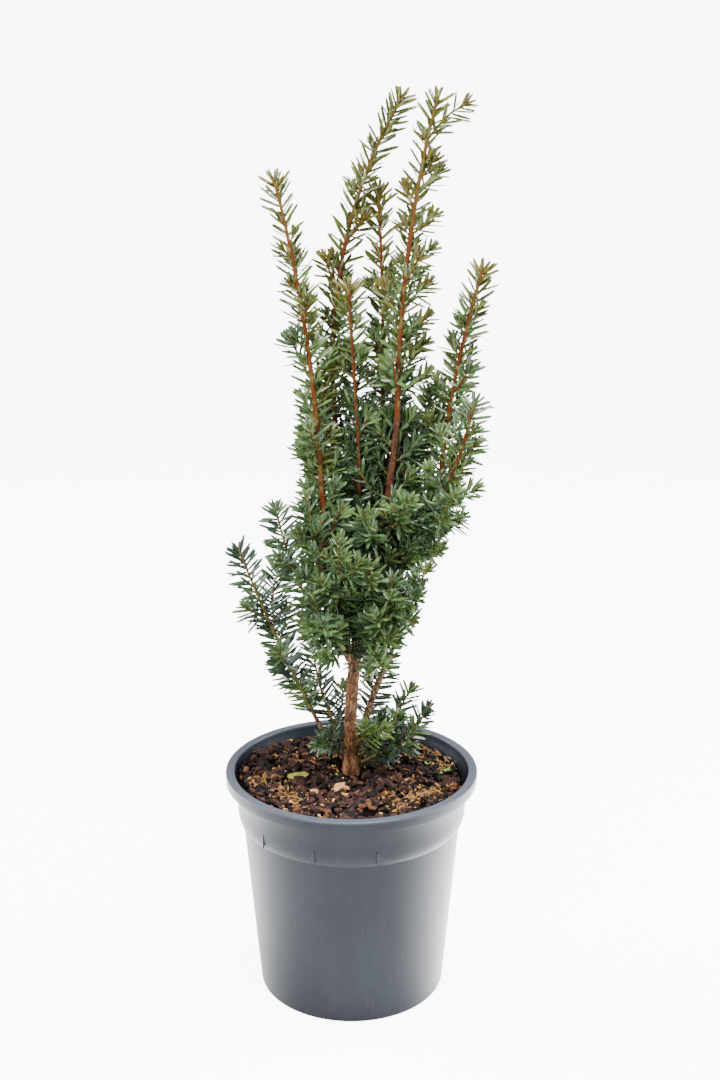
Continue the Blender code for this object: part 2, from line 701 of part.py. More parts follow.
def main():
    for thing in list(bpy.data.objects):
        bpy.data.objects.remove(thing)
    make_pot(material("pot_plastic", (0.075, 0.09, 0.105), 0.42))
    make_soil(material("soil_bark", (0.055, 0.032, 0.026), 0.9))
    make_plant(
        material("trunk_bark", (0.24, 0.12, 0.07), 0.85),
        material("bough_bark", (0.3, 0.16, 0.08), 0.8),
        {
            "leader": material("leader_foliage", (0.14, 0.2, 0.05), 0.5),
            "shoot": material("shoot_foliage", (0.05, 0.13, 0.06), 0.5),
            "tuft": material("tuft_foliage", (0.06, 0.17, 0.05), 0.5),
        },
    )


main()
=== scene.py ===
"""Dwarf Japanese yew in a round nursery pot of bark soil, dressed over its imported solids.

One operator makes each piece or group of like pieces, and the panel in the sidebar lists them.
The pot, the soil, the limbs and the twigs follow the solids' own tables and rules. Sprigs, needles
and chips are added to them. Places and lengths in the tables are millimetres, and MM turns them
into metres. +Z is up, and -Y is the front.
"""

import math
import random
from collections import namedtuple

import bpy
import numpy as np
from bpy.props import FloatProperty, FloatVectorProperty, IntProperty, PointerProperty
from mathutils import Euler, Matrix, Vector, noise


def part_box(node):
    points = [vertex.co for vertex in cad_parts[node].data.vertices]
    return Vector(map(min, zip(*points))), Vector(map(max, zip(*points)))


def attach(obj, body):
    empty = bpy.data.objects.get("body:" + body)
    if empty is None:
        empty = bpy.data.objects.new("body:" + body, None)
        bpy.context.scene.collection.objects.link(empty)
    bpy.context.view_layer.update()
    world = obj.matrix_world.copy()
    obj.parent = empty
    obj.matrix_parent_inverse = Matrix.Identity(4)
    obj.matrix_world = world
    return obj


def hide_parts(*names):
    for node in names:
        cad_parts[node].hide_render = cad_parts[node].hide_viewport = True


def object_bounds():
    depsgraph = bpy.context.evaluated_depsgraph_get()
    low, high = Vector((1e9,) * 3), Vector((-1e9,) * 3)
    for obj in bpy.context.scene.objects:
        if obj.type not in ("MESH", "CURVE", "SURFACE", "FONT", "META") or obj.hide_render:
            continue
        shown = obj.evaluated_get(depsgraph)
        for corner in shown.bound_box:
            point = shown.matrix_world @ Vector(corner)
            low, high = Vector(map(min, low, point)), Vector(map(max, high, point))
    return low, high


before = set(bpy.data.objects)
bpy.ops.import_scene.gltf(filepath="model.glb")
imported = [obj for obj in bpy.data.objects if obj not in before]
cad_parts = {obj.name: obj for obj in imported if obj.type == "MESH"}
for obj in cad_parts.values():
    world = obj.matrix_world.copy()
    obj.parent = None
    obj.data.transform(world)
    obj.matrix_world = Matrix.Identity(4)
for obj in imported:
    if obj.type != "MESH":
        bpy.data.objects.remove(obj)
SOLIDS_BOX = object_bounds()

bl_info = {
    "name": "Potted Yew",
    "version": (1, 0, 0),
    "blender": (4, 5, 0),
    "location": "View3D > Sidebar > Yew",
    "description": "Makes a potted dwarf Japanese yew: pot, bark soil, trunk, boughs, twigs and needles",
    "category": "Add Mesh",
}

MM = 0.001
CLEARANCE = 0.3
FULL_TURN = 2.0 * math.pi
GOLDEN_ANGLE = math.radians(137.508)
EVEN = (1, 1, 1)

# Every random draw starts from the seed, and so does the warp of the bark
SEED = 27
noise.seed_set(SEED)

# Pot, by radii and heights over its underside
POT_HEIGHT = 175
RIM_RADIUS = 95
RIM_INNER_RADIUS = 88.2
RIM_DROP = 8.5
RIM_ROUND = 0.8
RIM_EDGE = 1.2
UNDER_RIM = POT_HEIGHT - RIM_DROP
RIM_FLARE = (UNDER_RIM - 3, UNDER_RIM + 2)
COLLAR_RADIUS = 86.2
COLLAR_BOTTOM = 134.5
SHOULDER_HEIGHT = 9.5
LEDGE_WIDTH = 3.9
BASE_RADIUS = 70.4
BASE_ROUND = 2.6
WALL = 1.4
FLOOR = 2.2
DRAIN_HOLES = 8
DRAIN_RING_RADIUS = 52
DRAIN_HOLE_RADIUS = 5.5
PANEL_ANGLES = (-137.8, -107.8, -77.6)
PANEL_RIB_HEIGHT = 10
PANEL_RIB_WIDTH = 1
PANEL_RIB_PROUD = 0.35

# The shoulder's curve, by shares of the ledge's width and of the shoulder's height
SHOULDER = ((0.42, 0.12), (0.62, 0.3), (0.78, 0.5), (0.9, 0.72), (0.98, 1))

# Soil
SOIL_LEVEL = 166
SOIL_SLOPE = (-0.045, -0.03)
SOIL_SLOPE_RIGHT = -0.012
SOIL_ROUGHNESS = 1
SOIL_LIP = 1
SOIL_RINGS = 44
SOIL_SIDES = 132
FOOT_PATCH = 13
SOIL_ROOM = 4
RIM_ROOM = 4

# Trunk, from its cut at the soil to the point where it goes on as the main leader
TRUNK_FOOT = (0, 11, SOIL_LEVEL + CLEARANCE)
TRUNK_COURSE = (
    TRUNK_FOOT, (-0.5, 8.5, 215), (5, 5.5, 277), (17, 1, 333), (27.5, -5, 395), (32.5, -8, 443),
)
TRUNK_RINGS = 16
FLARE_RADIUS = 8.2
FLARE_HOLLOW = 0.1
FLARE_HEIGHT = 24
FLARE_LOBES = 5
STEM_RADIUS = 4.7
FORK_HEIGHT = 268
ABOVE_FORK_RADIUS = 3.5
ABOVE_FORK_STEPS = 5
TRUNK_TIP_RADIUS = 2.3

# A limb leaves its carrier's side at a height, or goes on from the carrier's tip, and heads for
# its knee. By its side, it sets out along and up the carrier, for a share of the way to the knee.
TIP = None
LIMB_RISE = 0.7
LIMB_START = 0.4
Limb = namedtuple("Limb", "name carrier height knee tip foot_radius tip_radius")
BOUGHS = (
    Limb("bough_left", "trunk", 260, (-12, -8, 290), (-19, -16, 334), 3.1, 2.2),
    Limb("bough_middle", "trunk", 266, (6, 17, 315), (-2, 18, 366), 2.7, 2.1),
    Limb("bough_right", "trunk", 334, (50, 7, 355), (64, 6, 396), 2.4, 1.7),
    Limb("bough_back", "trunk", 183, (9, 25, 212), (30, 33, 254), 3.3, 2.3),
    Limb("bough_low_left", "trunk", 177, (-17, 17, 184), (-28, 19, 208), 2.2, 1.6),
)

# A mass grows on in the same way, with side shoots of its own: each a share of the stem and a tip
Mass = namedtuple("Mass", "name carrier height knee tip foot_radius habit growth arms", defaults=((),))
MASSES = (
    Mass("leader_left", "bough_left", TIP, (-19, -21, 480), (-51, -9, 606), 2.2, "leader", 7),
    Mass("leader_middle", "bough_middle", TIP, (-36, 17, 541), (34, 0, 660), 2.1, "leader", 7),
    Mass("leader_middle_front", "bough_middle", 352, (2, -4, 440), (-1, -7, 534), 1.7, "leader", 4),
    Mass("leader_centre", "trunk", 370, (29, 26, 440), (19, 10, 598), 1.8, "leader", 6),
    Mass(
        "leader_main", "trunk", TIP, (33, -8, 563), (58, 2, 659), 2.3, "leader", 7,
        ((0.87, (77, 2, 656)),),
    ),
    Mass("leader_right", "bough_right", TIP, (71, 11, 473), (91, 3, 545), 1.7, "leader", 3),
    Mass("leader_right_front", "bough_right", 376, (76, -11, 400), (86, -15, 455), 1.5, "leader", 2),
    Mass("leader_right_back", "bough_right", 352, (44, 20, 405), (61, 18, 466), 1.4, "shoot", 3),
    Mass("shoot_right_front", "bough_right", 362, (62, -16, 366), (73, -28, 394), 1.3, "shoot", 2),
    Mass("shoot_right_low", "bough_right", 344, (50, -8, 338), (62, -15, 352), 1.2, "shoot", 1),
    Mass("shoot_left_front", "bough_left", 322, (-24, -28, 348), (-31, -31, 391), 1.3, "shoot", 2),
    Mass("shoot_left_outer", "bough_left", 288, (-42, -11, 322), (-53, -20, 380), 1.5, "shoot", 4),
    Mass("shoot_left_inner", "bough_left", 272, (-21, -24, 288), (-27, -35, 323), 1.3, "shoot", 2),
    Mass("shoot_front_left", "bough_left", 305, (-8, -28, 330), (-9, -36, 361), 1.2, "shoot", 2),
    Mass("shoot_front_low", "trunk", 252, (25, -18, 272), (29, -32, 332), 1.5, "shoot", 3),
    Mass("shoot_front_right", "trunk", 274, (42, -8, 296), (54, -25, 338), 1.6, "shoot", 3),
    Mass("shoot_front_middle", "trunk", 298, (12, -20, 310), (13, -31, 340), 1.2, "shoot", 2),
    Mass("shoot_front_upper", "trunk", 345, (13, -18, 356), (9, -28, 378), 1.2, "shoot", 2),
    Mass("shoot_front_high", "trunk", 362, (36, -24, 366), (38, -34, 390), 1.2, "shoot", 2),
    Mass(
        "shoot_low_left", "bough_low_left", TIP, (-56, 25, 264), (-82, 8, 342), 1.6, "shoot", 4,
        ((0.55, (-54, 24, 326)),),
    ),
    Mass("shoot_low_back", "trunk", 190, (-24, 27, 206), (-30, 27, 260), 1.2, "shoot", 2),
    Mass("shoot_low_right_back", "trunk", 176, (30, 31, 182), (45, 38, 222), 1.2, "shoot", 1),
    Mass("shoot_low_right", "trunk", 173, (50, 17, 170), (57, 18, 214), 1.2, "shoot", 1),
    Mass("tuft_low_left", "trunk", 188, (-17, -4, 200), (-25, -12, 198), 1.2, "tuft", 1),
    Mass("tuft_low_right", "trunk", 192, (16, 1, 203), (26, -2, 206), 1.2, "tuft", 1),
    Mass("shoot_back_right", "bough_back", TIP, (44, 38, 285), (50, 36, 318), 1.8, "shoot", 4),
    Mass("shoot_back_low", "bough_back", 226, (8, 46, 262), (6, 50, 312), 1.4, "shoot", 3),
    Mass("shoot_back_left", "bough_middle", 288, (-22, 34, 305), (-28, 44, 350), 1.4, "shoot", 3),
    Mass("shoot_back_middle", "trunk", 306, (22, 32, 345), (26, 42, 396), 1.4, "shoot", 3),
    Mass("shoot_back_upper", "bough_middle", 330, (-18, 34, 370), (-32, 36, 436), 1.3, "shoot", 3),
    Mass("shoot_back_high", "trunk", 350, (46, 32, 372), (46, 42, 436), 1.3, "shoot", 3),
)

# Habit: twig length and lean, and the shares of the stem between which twigs grow
Habit = namedtuple("Habit", "twig twig_lean first_twig last_twig stem_tip_radius")
HABITS = {
    "leader": Habit(26, 38, 0.03, 0.8, 1.1),
    "shoot": Habit(26, 46, 0.1, 0.7, 0.7),
    "tuft": Habit(12, 60, 0.3, 0.5, 0.7),
}
STEM_RING_SPACING = 28
TWIG_RADIUS = 0.95
TWIG_TIP_RADIUS = 0.5
TWIG_RISE = 0.45
TWIG_ROOM = 6
ARM_BOW = 0.12

# Spread of the needles: their length, the gap between two and their lean from the stem, both in the
# thick of the crown and over it, how far they droop, how much of each direction is left where the
# shoot is pressed flat, where their upper sides face besides the shoot's own way, how far they twist
# and how broad they are
Spread = namedtuple("Spread", "needle gaps leans droop flat face twist broad")
SPREADS = {
    "leader": Spread(17.5, (1.3, 1.75), (62, 50), 0, (1, 0.8, 1), (0, -0.3, 0.1), 0.8, 1.28),
    "shoot": Spread(17.5, (1.15, 1.3), (60, 60), 0.06, (1, 1, 0.65), (0, -0.4, 0.8), 0.4, 1.12),
    "comb": Spread(17.5, (1, 1), (66, 66), -0.02, (1, 0.45, 1), (0, -1.3, 0.7), 0.35, 1.12),
    "low": Spread(15.5, (1.2, 1.2), (58, 58), 0.04, (1, 1, 0.6), (0, -0.5, 0.8), 0.3, 1.3),
    "tuft": Spread(14, (0.8, 0.8), (60, 60), 0.02, (1, 1, 0.8), (0, -0.5, 0.8), 0.4, 0.95),
    "sprig": Spread(15.5, (1.1, 1.2), (54, 52), 0.04, (1, 1, 0.9), (0, -0.4, 0.8), 0.45, 1.2),
}
THICK_TO_OPEN = (450, 550)
COMBS = ("shoot_low_left", "shoot_low_back", "shoot_left_outer")
LOW_SHOOTS = ("shoot_low_right", "shoot_low_right_back")

# The finest side shoots by height: below each top, the gap between two, their length and lean, and
# how far to the front they may point
Zone = namedtuple("Zone", "top gap sprig lean front")
OVER_ALL = 700
SPRIG_ZONES = {
    "limb": (Zone(256, 8, 0, 50, 1), Zone(366, 3.2, 30, 52, 1), Zone(OVER_ALL, 3.2, 30, 52, 0.5)),
    "leader": (
        Zone(360, 5.5, 26, 46, 1), Zone(430, 5.5, 25, 42, 0.6), Zone(490, 6.5, 19, 40, 0.6),
        Zone(550, 8, 14, 38, 0.5), Zone(OVER_ALL, 12, 9, 36, 0.6),
    ),
    "shoot": (Zone(262, 8, 0, 50, 1), Zone(OVER_ALL, 6.5, 23, 46, 1)),
    "low": (Zone(190, 5.5, 15, 58, 1), Zone(OVER_ALL, 12, 12, 44, 1)),
    "tuft": (Zone(OVER_ALL, 7, 8, 50, 1),),
    "comb": (Zone(OVER_ALL, 20, 0, 50, 1),),
    "twig": (
        Zone(262, 8, 0, 50, 1), Zone(440, 9, 17, 42, 1), Zone(530, 13, 13, 40, 0.6),
        Zone(OVER_ALL, 8, 0, 50, 1),
    ),
}
SPRIG_SHORTER = (1, 0.75, 0.5)
SPRIG_RISE = 0.6
SPRIG_RADIUS = 0.6
SPRIG_ROOM = 1.2
SPRIG_INSET = 9
EDGE_INSET = 7

# Sprigs seen on the photograph besides: their carriers and tips, so far over their feet, with a bow
SEEN_RISE = 13
SEEN_BOW = 0.06
SEEN_SPRIGS = (
    ("leader_main", (56, -5, 583)), ("leader_main", (55, -7, 561)), ("leader_main", (60, -1, 612)),
    ("leader_main", (53, -9, 538)), ("leader_main", (52, -11, 515)), ("leader_main", (51, -9, 497)),
    ("leader_main", (53, -8, 476)), ("leader_left", (-35, -19, 424)), ("leader_left", (-33, -14, 396)),
    ("trunk", (44, -12, 341)), ("trunk", (40, 6, 338)), ("bough_right", (56, -8, 349)),
    ("bough_right", (68, -3, 360)), ("bough_right", (60, 15, 352)),
)

# Stems that the photograph shows: most needles before them, seen from the front and a little above,
# are left out, from so high up and within so much of the axis. A stem counts from its first ring
# over that height, or up to RING_SLACK under it.
SHOWN_STEMS = (
    ("trunk", 366, 3), ("leader_main", 443, 2.4), ("leader_left", 345, 2.2),
    ("leader_middle_front", 400, 1.8), ("leader_right", 400, 1.8), ("leader_right_front", 400, 1.6),
)
SHOWN_SLOPE = 0.3
SHOWN_SHARE = 0.75
RING_SLACK = 20
BEFORE_STEM = 1.5

# The thick of the crown: how far it reaches to the left and to the right at some heights
CROWN_SIDES = (
    (250, -12, 26), (275, -20, 31), (300, -29, 42), (345, -37, 66), (370, -40, 76), (440, -40, 92),
    (480, -42, 80), (530, -47, 72), (600, -58, 68), (669, -20, 84),
)
CROWN_RIGHT_EDGE = ((255, 38), (285, 46), (310, 53), (335, 58), (352, 72), (365, 200))
CROWN_DEPTH = 0.75
CROWN_MIDDLE = 5

# The back bough shows bare right of, before and under these
BACK_BOUGH_SHOWS = (21, 22, 262)

# Along a shoot: where its needles start and how its tip closes. An order above the twigs' marks the
# bough with needles of its own over its bare foot, which draws no stem.
NEEDLED_BOUGH = "bough_back"
BARE_FOOT_ORDER = 3
BARE_FOOT = 0.3
FIRST_NEEDLE = {0: 4, 1: 3, 2: 3}
TIP_ZONE = 14
TIP_SHARE = 0.13
TIP_SPRAY = 9
OPEN_TIP = 0.3
ROSETTE = 6
NEEDLE_ROOM = 7
NEEDLE_CLEAR = 0.9
NEEDLE_CREASE = 55
NEEDLES_AT_ONCE = 2000
NEEDLES_A_PIECE = 8000
BUDS = 3
BUD_SIZE = 4.2

# Where a needle would stand out too far, it is grown shorter by the first share that fits
NEEDLE_SHORTER = (1, 0.85, 0.7, 0.5)

# Needle outline: stations along it, with shares of its half width and of its thickness
NEEDLE_RINGS = ((0.1, 0.74, 0.9), (0.45, 1, 1), (0.84, 0.82, 0.7))
NEEDLE_POINTS = 4 * len(NEEDLE_RINGS) + 2

# On the soil: kinds of chips with their shares and sizes, where cream chips, fibres and weeds gather
# as (x, y, spread) or (x, y, leaves, length), and the places of the largest flake and the leaf
CHIP_KINDS = (("dark", 0.46, 1), ("black", 0.39, 0.9), ("brown", 0.1, 0.8), ("tan", 0.05, 0.5))
CREAM_CHIPS = ((-28.6, -34, 1.5), (-15.6, -46, 2.5), (-74, -12, 3), (-4, -26, 1))
CREAM_FLAKE = (-10, -31)
FRONT_FIBRES = (
    (-70, -24, 4), (-54, -30, 5), (-47, -44, 6), (-62, -12, 4), (-36, -58, 5), (50, -42, 6),
    (62, -26, 5), (36, -55, 5), (44, -30, 7),
)
BACK_FIBRES = ((62, 40, 9), (48, 52, 9), (68, 22, 6), (30, 40, 12), (-38, 34, 10))
FALLEN_LEAF = (-41.6, -6.5)
WEEDS = ((73, 11.1, 7, 4.2), (59, 24, 5, 4.4), (-13, -2, 6, 4.6), (52, 4, 5, 3.6), (67, 4, 4, 3.2))

# Stage: the lamps' places, sizes and shares of the key light, and the photograph's camera
LAMP_AIM = (0, 0, 0.3)
LAMPS = (
    ("lamp_left", (-1.5, 0.5, 0.9), 1, 1.3), ("lamp_right", (1.5, 0.35, 0.9), 1, 1.6),
    ("lamp_top", (0.2, -0.3, 2.1), 0.7, 2.4), ("lamp_front", (-0.8, -1.5, 1.5), 0.5, 1.1),
)
CAMERA_PLACE = (0.0064, -1.0464, 0.6475)
CAMERA_TILT = 15.72
CAMERA_LENS = 50
CAMERA_SENSOR = 36
FLOOR_DROP = 0.0002


# Settings

def measure(name, description, default):
    return FloatProperty(name=name, description=description, default=default, unit="LENGTH")


def strength(name, description, default):
    return FloatProperty(name=name, description=description, default=default, min=0.0)


def colour(name, description, default):
    return FloatVectorProperty(
        name=name, description=description, default=default, subtype="COLOR", size=3, min=0.0, max=1.0,
    )


class YewPot(bpy.types.PropertyGroup):
    sides: IntProperty(name="Sides", description="Faces round the pot", default=144, min=48, max=256)
    edge: measure("Edge radius", "Rounding of the moulded edges", 0.0004)
    slate: colour("Slate", "Slate grey of the moulded plastic", (0.014, 0.018, 0.027))
    faded: colour("Faded", "Scuffed and dusty patches", (0.024, 0.03, 0.043))
    # The rim colour is a painted highlight, laid on the top of the rim and on a thin line along the ledge
    rim: colour("Rim", "Highlit and paler top of the rim", (0.09, 0.1, 0.125))


class YewSoil(bpy.types.PropertyGroup):
    chips: IntProperty(name="Chips", description="Bark chips on the soil", default=1500, min=0)
    fibres: IntProperty(name="Fibres", description="Shredded fibres on the soil", default=640, min=0)
    chip_length: measure("Chip length", "Mean length of a bark chip", 0.0094)
    dark: colour("Dark bark", "Purple-brown chips", (0.03, 0.013, 0.01))
    black: colour("Black bark", "Nearly black chips", (0.004, 0.002, 0.0018))
    brown: colour("Brown bark", "Red-brown chips", (0.085, 0.034, 0.015))
    tan: colour("Fibre", "Orange-tan fibres", (0.42, 0.22, 0.07))
    cream: colour("Fresh wood", "Cream chips of fresh wood", (0.78, 0.42, 0.17))


class YewBark(bpy.types.PropertyGroup):
    relief: measure("Relief", "Depth of the fissures of the old bark", 0.0006)
    plate: colour("Plates", "Grey-tan bark plates", (0.3, 0.14, 0.052))
    fissure: colour("Fissures", "Red-brown bark between the plates", (0.06, 0.019, 0.008))
    foot: colour("Foot", "Orange bark just over the soil", (0.46, 0.17, 0.035))
    flake: colour("Flakes", "Pale edges of the lifted flakes", (0.46, 0.3, 0.17))
    pale: colour("Pale plates", "Pink-tan bark of the back bough", (0.62, 0.41, 0.25))
    young: colour("Young bark", "Red-brown bark of the leaders", (0.165, 0.046, 0.014))
    green: colour("Green twig", "Olive skin of the side shoots", (0.16, 0.15, 0.04))


class YewNeedles(bpy.types.PropertyGroup):
    width: measure("Width", "Width of a needle", 0.0021)
    thickness: measure("Thickness", "Height of a needle's ridge", 0.00045)
    density: FloatProperty(
        name="Density", description="Needles along a shoot, as a share of the usual number", default=1.0,
        min=0.1, max=2.0, subtype="FACTOR",
    )
    # Deep is painted shade: the darkest green, dealt to needles inside the crown
    deep: colour("Deep", "Darkest green, in the shade of the crown", (0.017, 0.038, 0.011))
    dark: colour("Dark", "Dark green of the old needles", (0.043, 0.085, 0.031))
    blue: colour("Blue", "Bluish green of the low shoots", (0.022, 0.045, 0.024))
    green: colour("Green", "Green of the inner crown", (0.077, 0.13, 0.037))
    olive: colour("Olive", "Olive green of the leaders", (0.06, 0.076, 0.009))
    fresh: colour("Fresh", "Yellow-green of the shoot tips", (0.09, 0.084, 0.009))
    bright: colour("Bright", "Bright green of the young tuft", (0.085, 0.145, 0.03))
    bud: colour("Bud", "Orange-yellow of the buds", (0.28, 0.15, 0.03))


class YewStage(bpy.types.PropertyGroup):
    floor_size: measure("Floor", "Side of the floor", 60.0)
    floor_colour: colour("Floor colour", "Pale floor", (0.86, 0.87, 0.88))
    backdrop_colour: colour("Backdrop colour", "White behind the plant", (0.975, 0.985, 1.0))
    backdrop: strength("Backdrop", "Strength of the white behind the plant", 9.0)
    sky: strength("Sky", "Strength of the even light", 0.22)
    shine: strength("Shine", "Strength of the mirrored light", 0.5)
    floor_shine: strength("Floor shine", "Strength of the floor behind the pot in its sides", 4.5)
    key: FloatProperty(name="Key light", description="Power of the large lamp", default=30.0, unit="POWER")


# Working with operators

def deselect():
    if bpy.context.mode != "OBJECT":
        bpy.ops.object.mode_set(mode="OBJECT")
    bpy.ops.object.select_all(action="DESELECT")


def added(name):
    """The object that an operator has just added, under its own name."""
    piece = bpy.context.active_object
    piece.name = name
    piece.data.name = name
    return piece


def only(piece):
    deselect()
    piece.select_set(True)
    bpy.context.view_layer.objects.active = piece


def edit(*steps):
    """Take each step in edit mode with the whole mesh selected."""
    bpy.ops.object.mode_set(mode="EDIT")
    for step in steps:
        bpy.ops.mesh.select_all(action="SELECT")
        step()
    bpy.ops.object.mode_set(mode="OBJECT")


def face_outwards():
    bpy.ops.mesh.normals_make_consistent(inside=False)


def finish_piece(piece, slot, nodes=(), surface=None):
    """Lay the piece's place into its mesh, hang it on what it rides on and hide the solids it stands for.
    """
    only(piece)
    bpy.ops.object.transform_apply(location=True, rotation=True, scale=True)
    if surface:
        piece.data.materials.clear()
        piece.data.materials.append(surface)
    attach(piece, "root")
    if nodes:
        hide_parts(*nodes)
    deselect()


def apply_boolean(piece, cutter, operation):
    only(piece)
    boolean = piece.modifiers.new("Boolean", "BOOLEAN")
    boolean.operation = operation
    boolean.solver = "EXACT"
    boolean.object = cutter
    bpy.ops.object.modifier_apply(modifier=boolean.name)
    bpy.data.objects.remove(cutter)


def join(pieces, name):
    deselect()
    for piece in pieces:
        piece.select_set(True)
    bpy.context.view_layer.objects.active = pieces[0]
    bpy.ops.object.join()
    return added(name)


def place(point):
    return Vector(point) * MM


def round_place(radius, angle, height):
    """A place by its distance from the pot's axis, the angle round it and its height."""
    return place((radius * math.cos(angle), radius * math.sin(angle), height))


def arc(centre, radius, start, end, steps):
    angles = [math.radians(start + (end - start) * step / steps) for step in range(steps + 1)]
    x, y = centre
    return [(x + radius * math.cos(angle), y + radius * math.sin(angle)) for angle in angles]


def turn_shell(name, profile, sides):
    """A circle extruded ring by ring through (radius, height) in millimetres, closed at both ends."""
    deselect()
    radius, height = profile[0]
    bpy.ops.mesh.primitive_circle_add(vertices=sides, radius=radius * MM, location=(0.0, 0.0, height * MM))
    shell = added(name)

    def extrude():
        bpy.ops.mesh.edge_face_add()
        for (low_radius, low), (high_radius, high) in zip(profile, profile[1:]):
            rise = (0.0, 0.0, (high - low) * MM)
            bpy.ops.mesh.extrude_region_move(TRANSFORM_OT_translate={"value": rise})
            share = high_radius / low_radius
            bpy.ops.transform.resize(value=(share, share, 1.0))

    edit(extrude, face_outwards)
    only(shell)
    bpy.ops.object.transform_apply(location=True, rotation=True, scale=True)
    return shell


def mesh_piece(name, points, faces, surfaces, indices=None):
    """A piece from arrays, for the many small things that are joined in one mesh."""
    mesh = bpy.data.meshes.new(name)
    mesh.from_pydata(points, [], faces)
    for surface in surfaces:
        mesh.materials.append(surface)
    if indices is not None:
        mesh.polygons.foreach_set("material_index", indices)
    mesh.update()
    piece = bpy.data.objects.new(name, mesh)
    bpy.context.scene.collection.objects.link(piece)
    return piece


# Materials

def feed(node, inputs):
    """Give inputs, by name or in their order, each a socket or a plain value."""
    for key, value in inputs.items() if isinstance(inputs, dict) else enumerate(inputs):
        socket = node.inputs[key]
        if isinstance(value, bpy.types.NodeSocket):
            node.id_data.links.new(value, socket)
        else:
            socket.default_value = (*value, 1.0) if socket.type == "RGBA" else value


def add_node(tree, kind, inputs=(), **settings):
    """A shader node of one kind, with its settings made and its inputs fed."""
    made = tree.nodes.new("ShaderNode" + kind)
    for name, value in settings.items():
        setattr(made, name, value)
    feed(made, inputs)
    return made


def mixed(tree, factor, first, second):
    inputs = {"Factor": factor, "A": first, "B": second}
    return add_node(tree, "Mix", inputs, data_type="RGBA").outputs["Result"]


def ranged(tree, value, from_min, from_max, to_min=0.0, to_max=1.0):
    limits = {"From Min": from_min, "From Max": from_max, "To Min": to_min, "To Max": to_max}
    return add_node(tree, "MapRange", {"Value": value, **limits}).outputs["Result"]


def reckoned(tree, operation, *values):
    """The sum, product and so on of sockets and plain numbers."""
    return add_node(tree, "Math", values, operation=operation).outputs["Value"]


def vector_math(tree, operation, *values):
    """The outputs of a step with vectors, each a socket or plain numbers."""
    return add_node(tree, "VectorMath", values, operation=operation).outputs


def object_place(tree):
    return add_node(tree, "TexCoord").outputs["Object"]


def parts_of(tree, vector):
    """A vector's X, Y and Z, as sockets."""
    return add_node(tree, "SeparateXYZ", (vector,)).outputs


def bump(tree, shader, height, distance, strength=1.0):
    relief = add_node(tree, "Bump", {"Strength": strength, "Distance": distance, "Height": height})
    feed(shader, {"Normal": relief.outputs["Normal"]})


def mottle_group():
    """Two colours in soft spots, with the spots as a mask, in places stretched as asked."""
    name = "Yew mottle"
    if name in bpy.data.node_groups:
        return bpy.data.node_groups[name]
    group = bpy.data.node_groups.new(name, "ShaderNodeTree")
    for in_out, socket, kind, default in (
        ("INPUT", "Stretch", "Vector", EVEN),
        ("INPUT", "Scale", "Float", 300.0),
        ("INPUT", "Low", "Float", 0.35),
        ("INPUT", "High", "Float", 0.65),
        ("INPUT", "First", "Color", (0.0, 0.0, 0.0, 1.0)),
        ("INPUT", "Second", "Color", (1.0, 1.0, 1.0, 1.0)),
        ("OUTPUT", "Colour", "Color", None),
        ("OUTPUT", "Mask", "Float", None),
    ):
        made = group.interface.new_socket(name=socket, in_out=in_out, socket_type="NodeSocket" + kind)
        if default is not None:
            made.default_value = default
    given = group.nodes.new("NodeGroupInput").outputs
    stretched = vector_math(group, "MULTIPLY", object_place(group), given["Stretch"])["Vector"]
    inputs = {"Vector": stretched, "Scale": given["Scale"], "Detail": 3.0}
    spots = add_node(group, "TexNoise", inputs).outputs["Fac"]
    mask = ranged(group, spots, given["Low"], given["High"])
    colours = mixed(group, mask, given["First"], given["Second"])
    feed(group.nodes.new("NodeGroupOutput"), {"Colour": colours, "Mask": mask})
    return group


def mottle(tree, first, second, scale, stretch=EVEN, low=0.35, high=0.65):
    """The mottle's colour and mask, as sockets."""
    inputs = {
        "Stretch": stretch, "Scale": scale, "Low": low, "High": high, "First": first, "Second": second,
    }
    made = add_node(tree, "Group", node_tree=mottle_group())
    feed(made, inputs)
    return made.outputs["Colour"], made.outputs["Mask"]


def new_material(name, shine=None):
    """A material with its shader, and the node tree they stand in."""
    made = bpy.data.materials.new(name)
    made.use_nodes = True
    shader = made.node_tree.nodes["Principled BSDF"]
    if shine is not None:
        feed(shader, {"Specular IOR Level": shine})
    return made, made.node_tree, shader


def spotted_material(name, base, shade, scale, roughness, depth=0.0, shine=None):
    """A colour that wanders towards a darker or lighter shade of itself, with a fine grain."""
    made, tree, shader = new_material(name, shine)
    other = tuple(min(1.0, channel * shade) for channel in base)
    spots, mask = mottle(tree, base, other, scale)
    rough = ranged(tree, mask, 0.0, 1.0, roughness, 0.6 * roughness + 0.14)
    feed(shader, {"Base Color": spots, "Roughness": rough})
    if depth:
        bump(tree, shader, mottle(tree, base, other, 3.0 * scale)[1], depth)
    return made


# Heights in metres between which a painted highlight lies on the top of the rim and along the ledge
RIM_HIGHLIGHT = (0.1728, 0.1746)
LEDGE_HIGHLIGHT = ((0.1338, 0.1344), (0.1354, 0.1348))


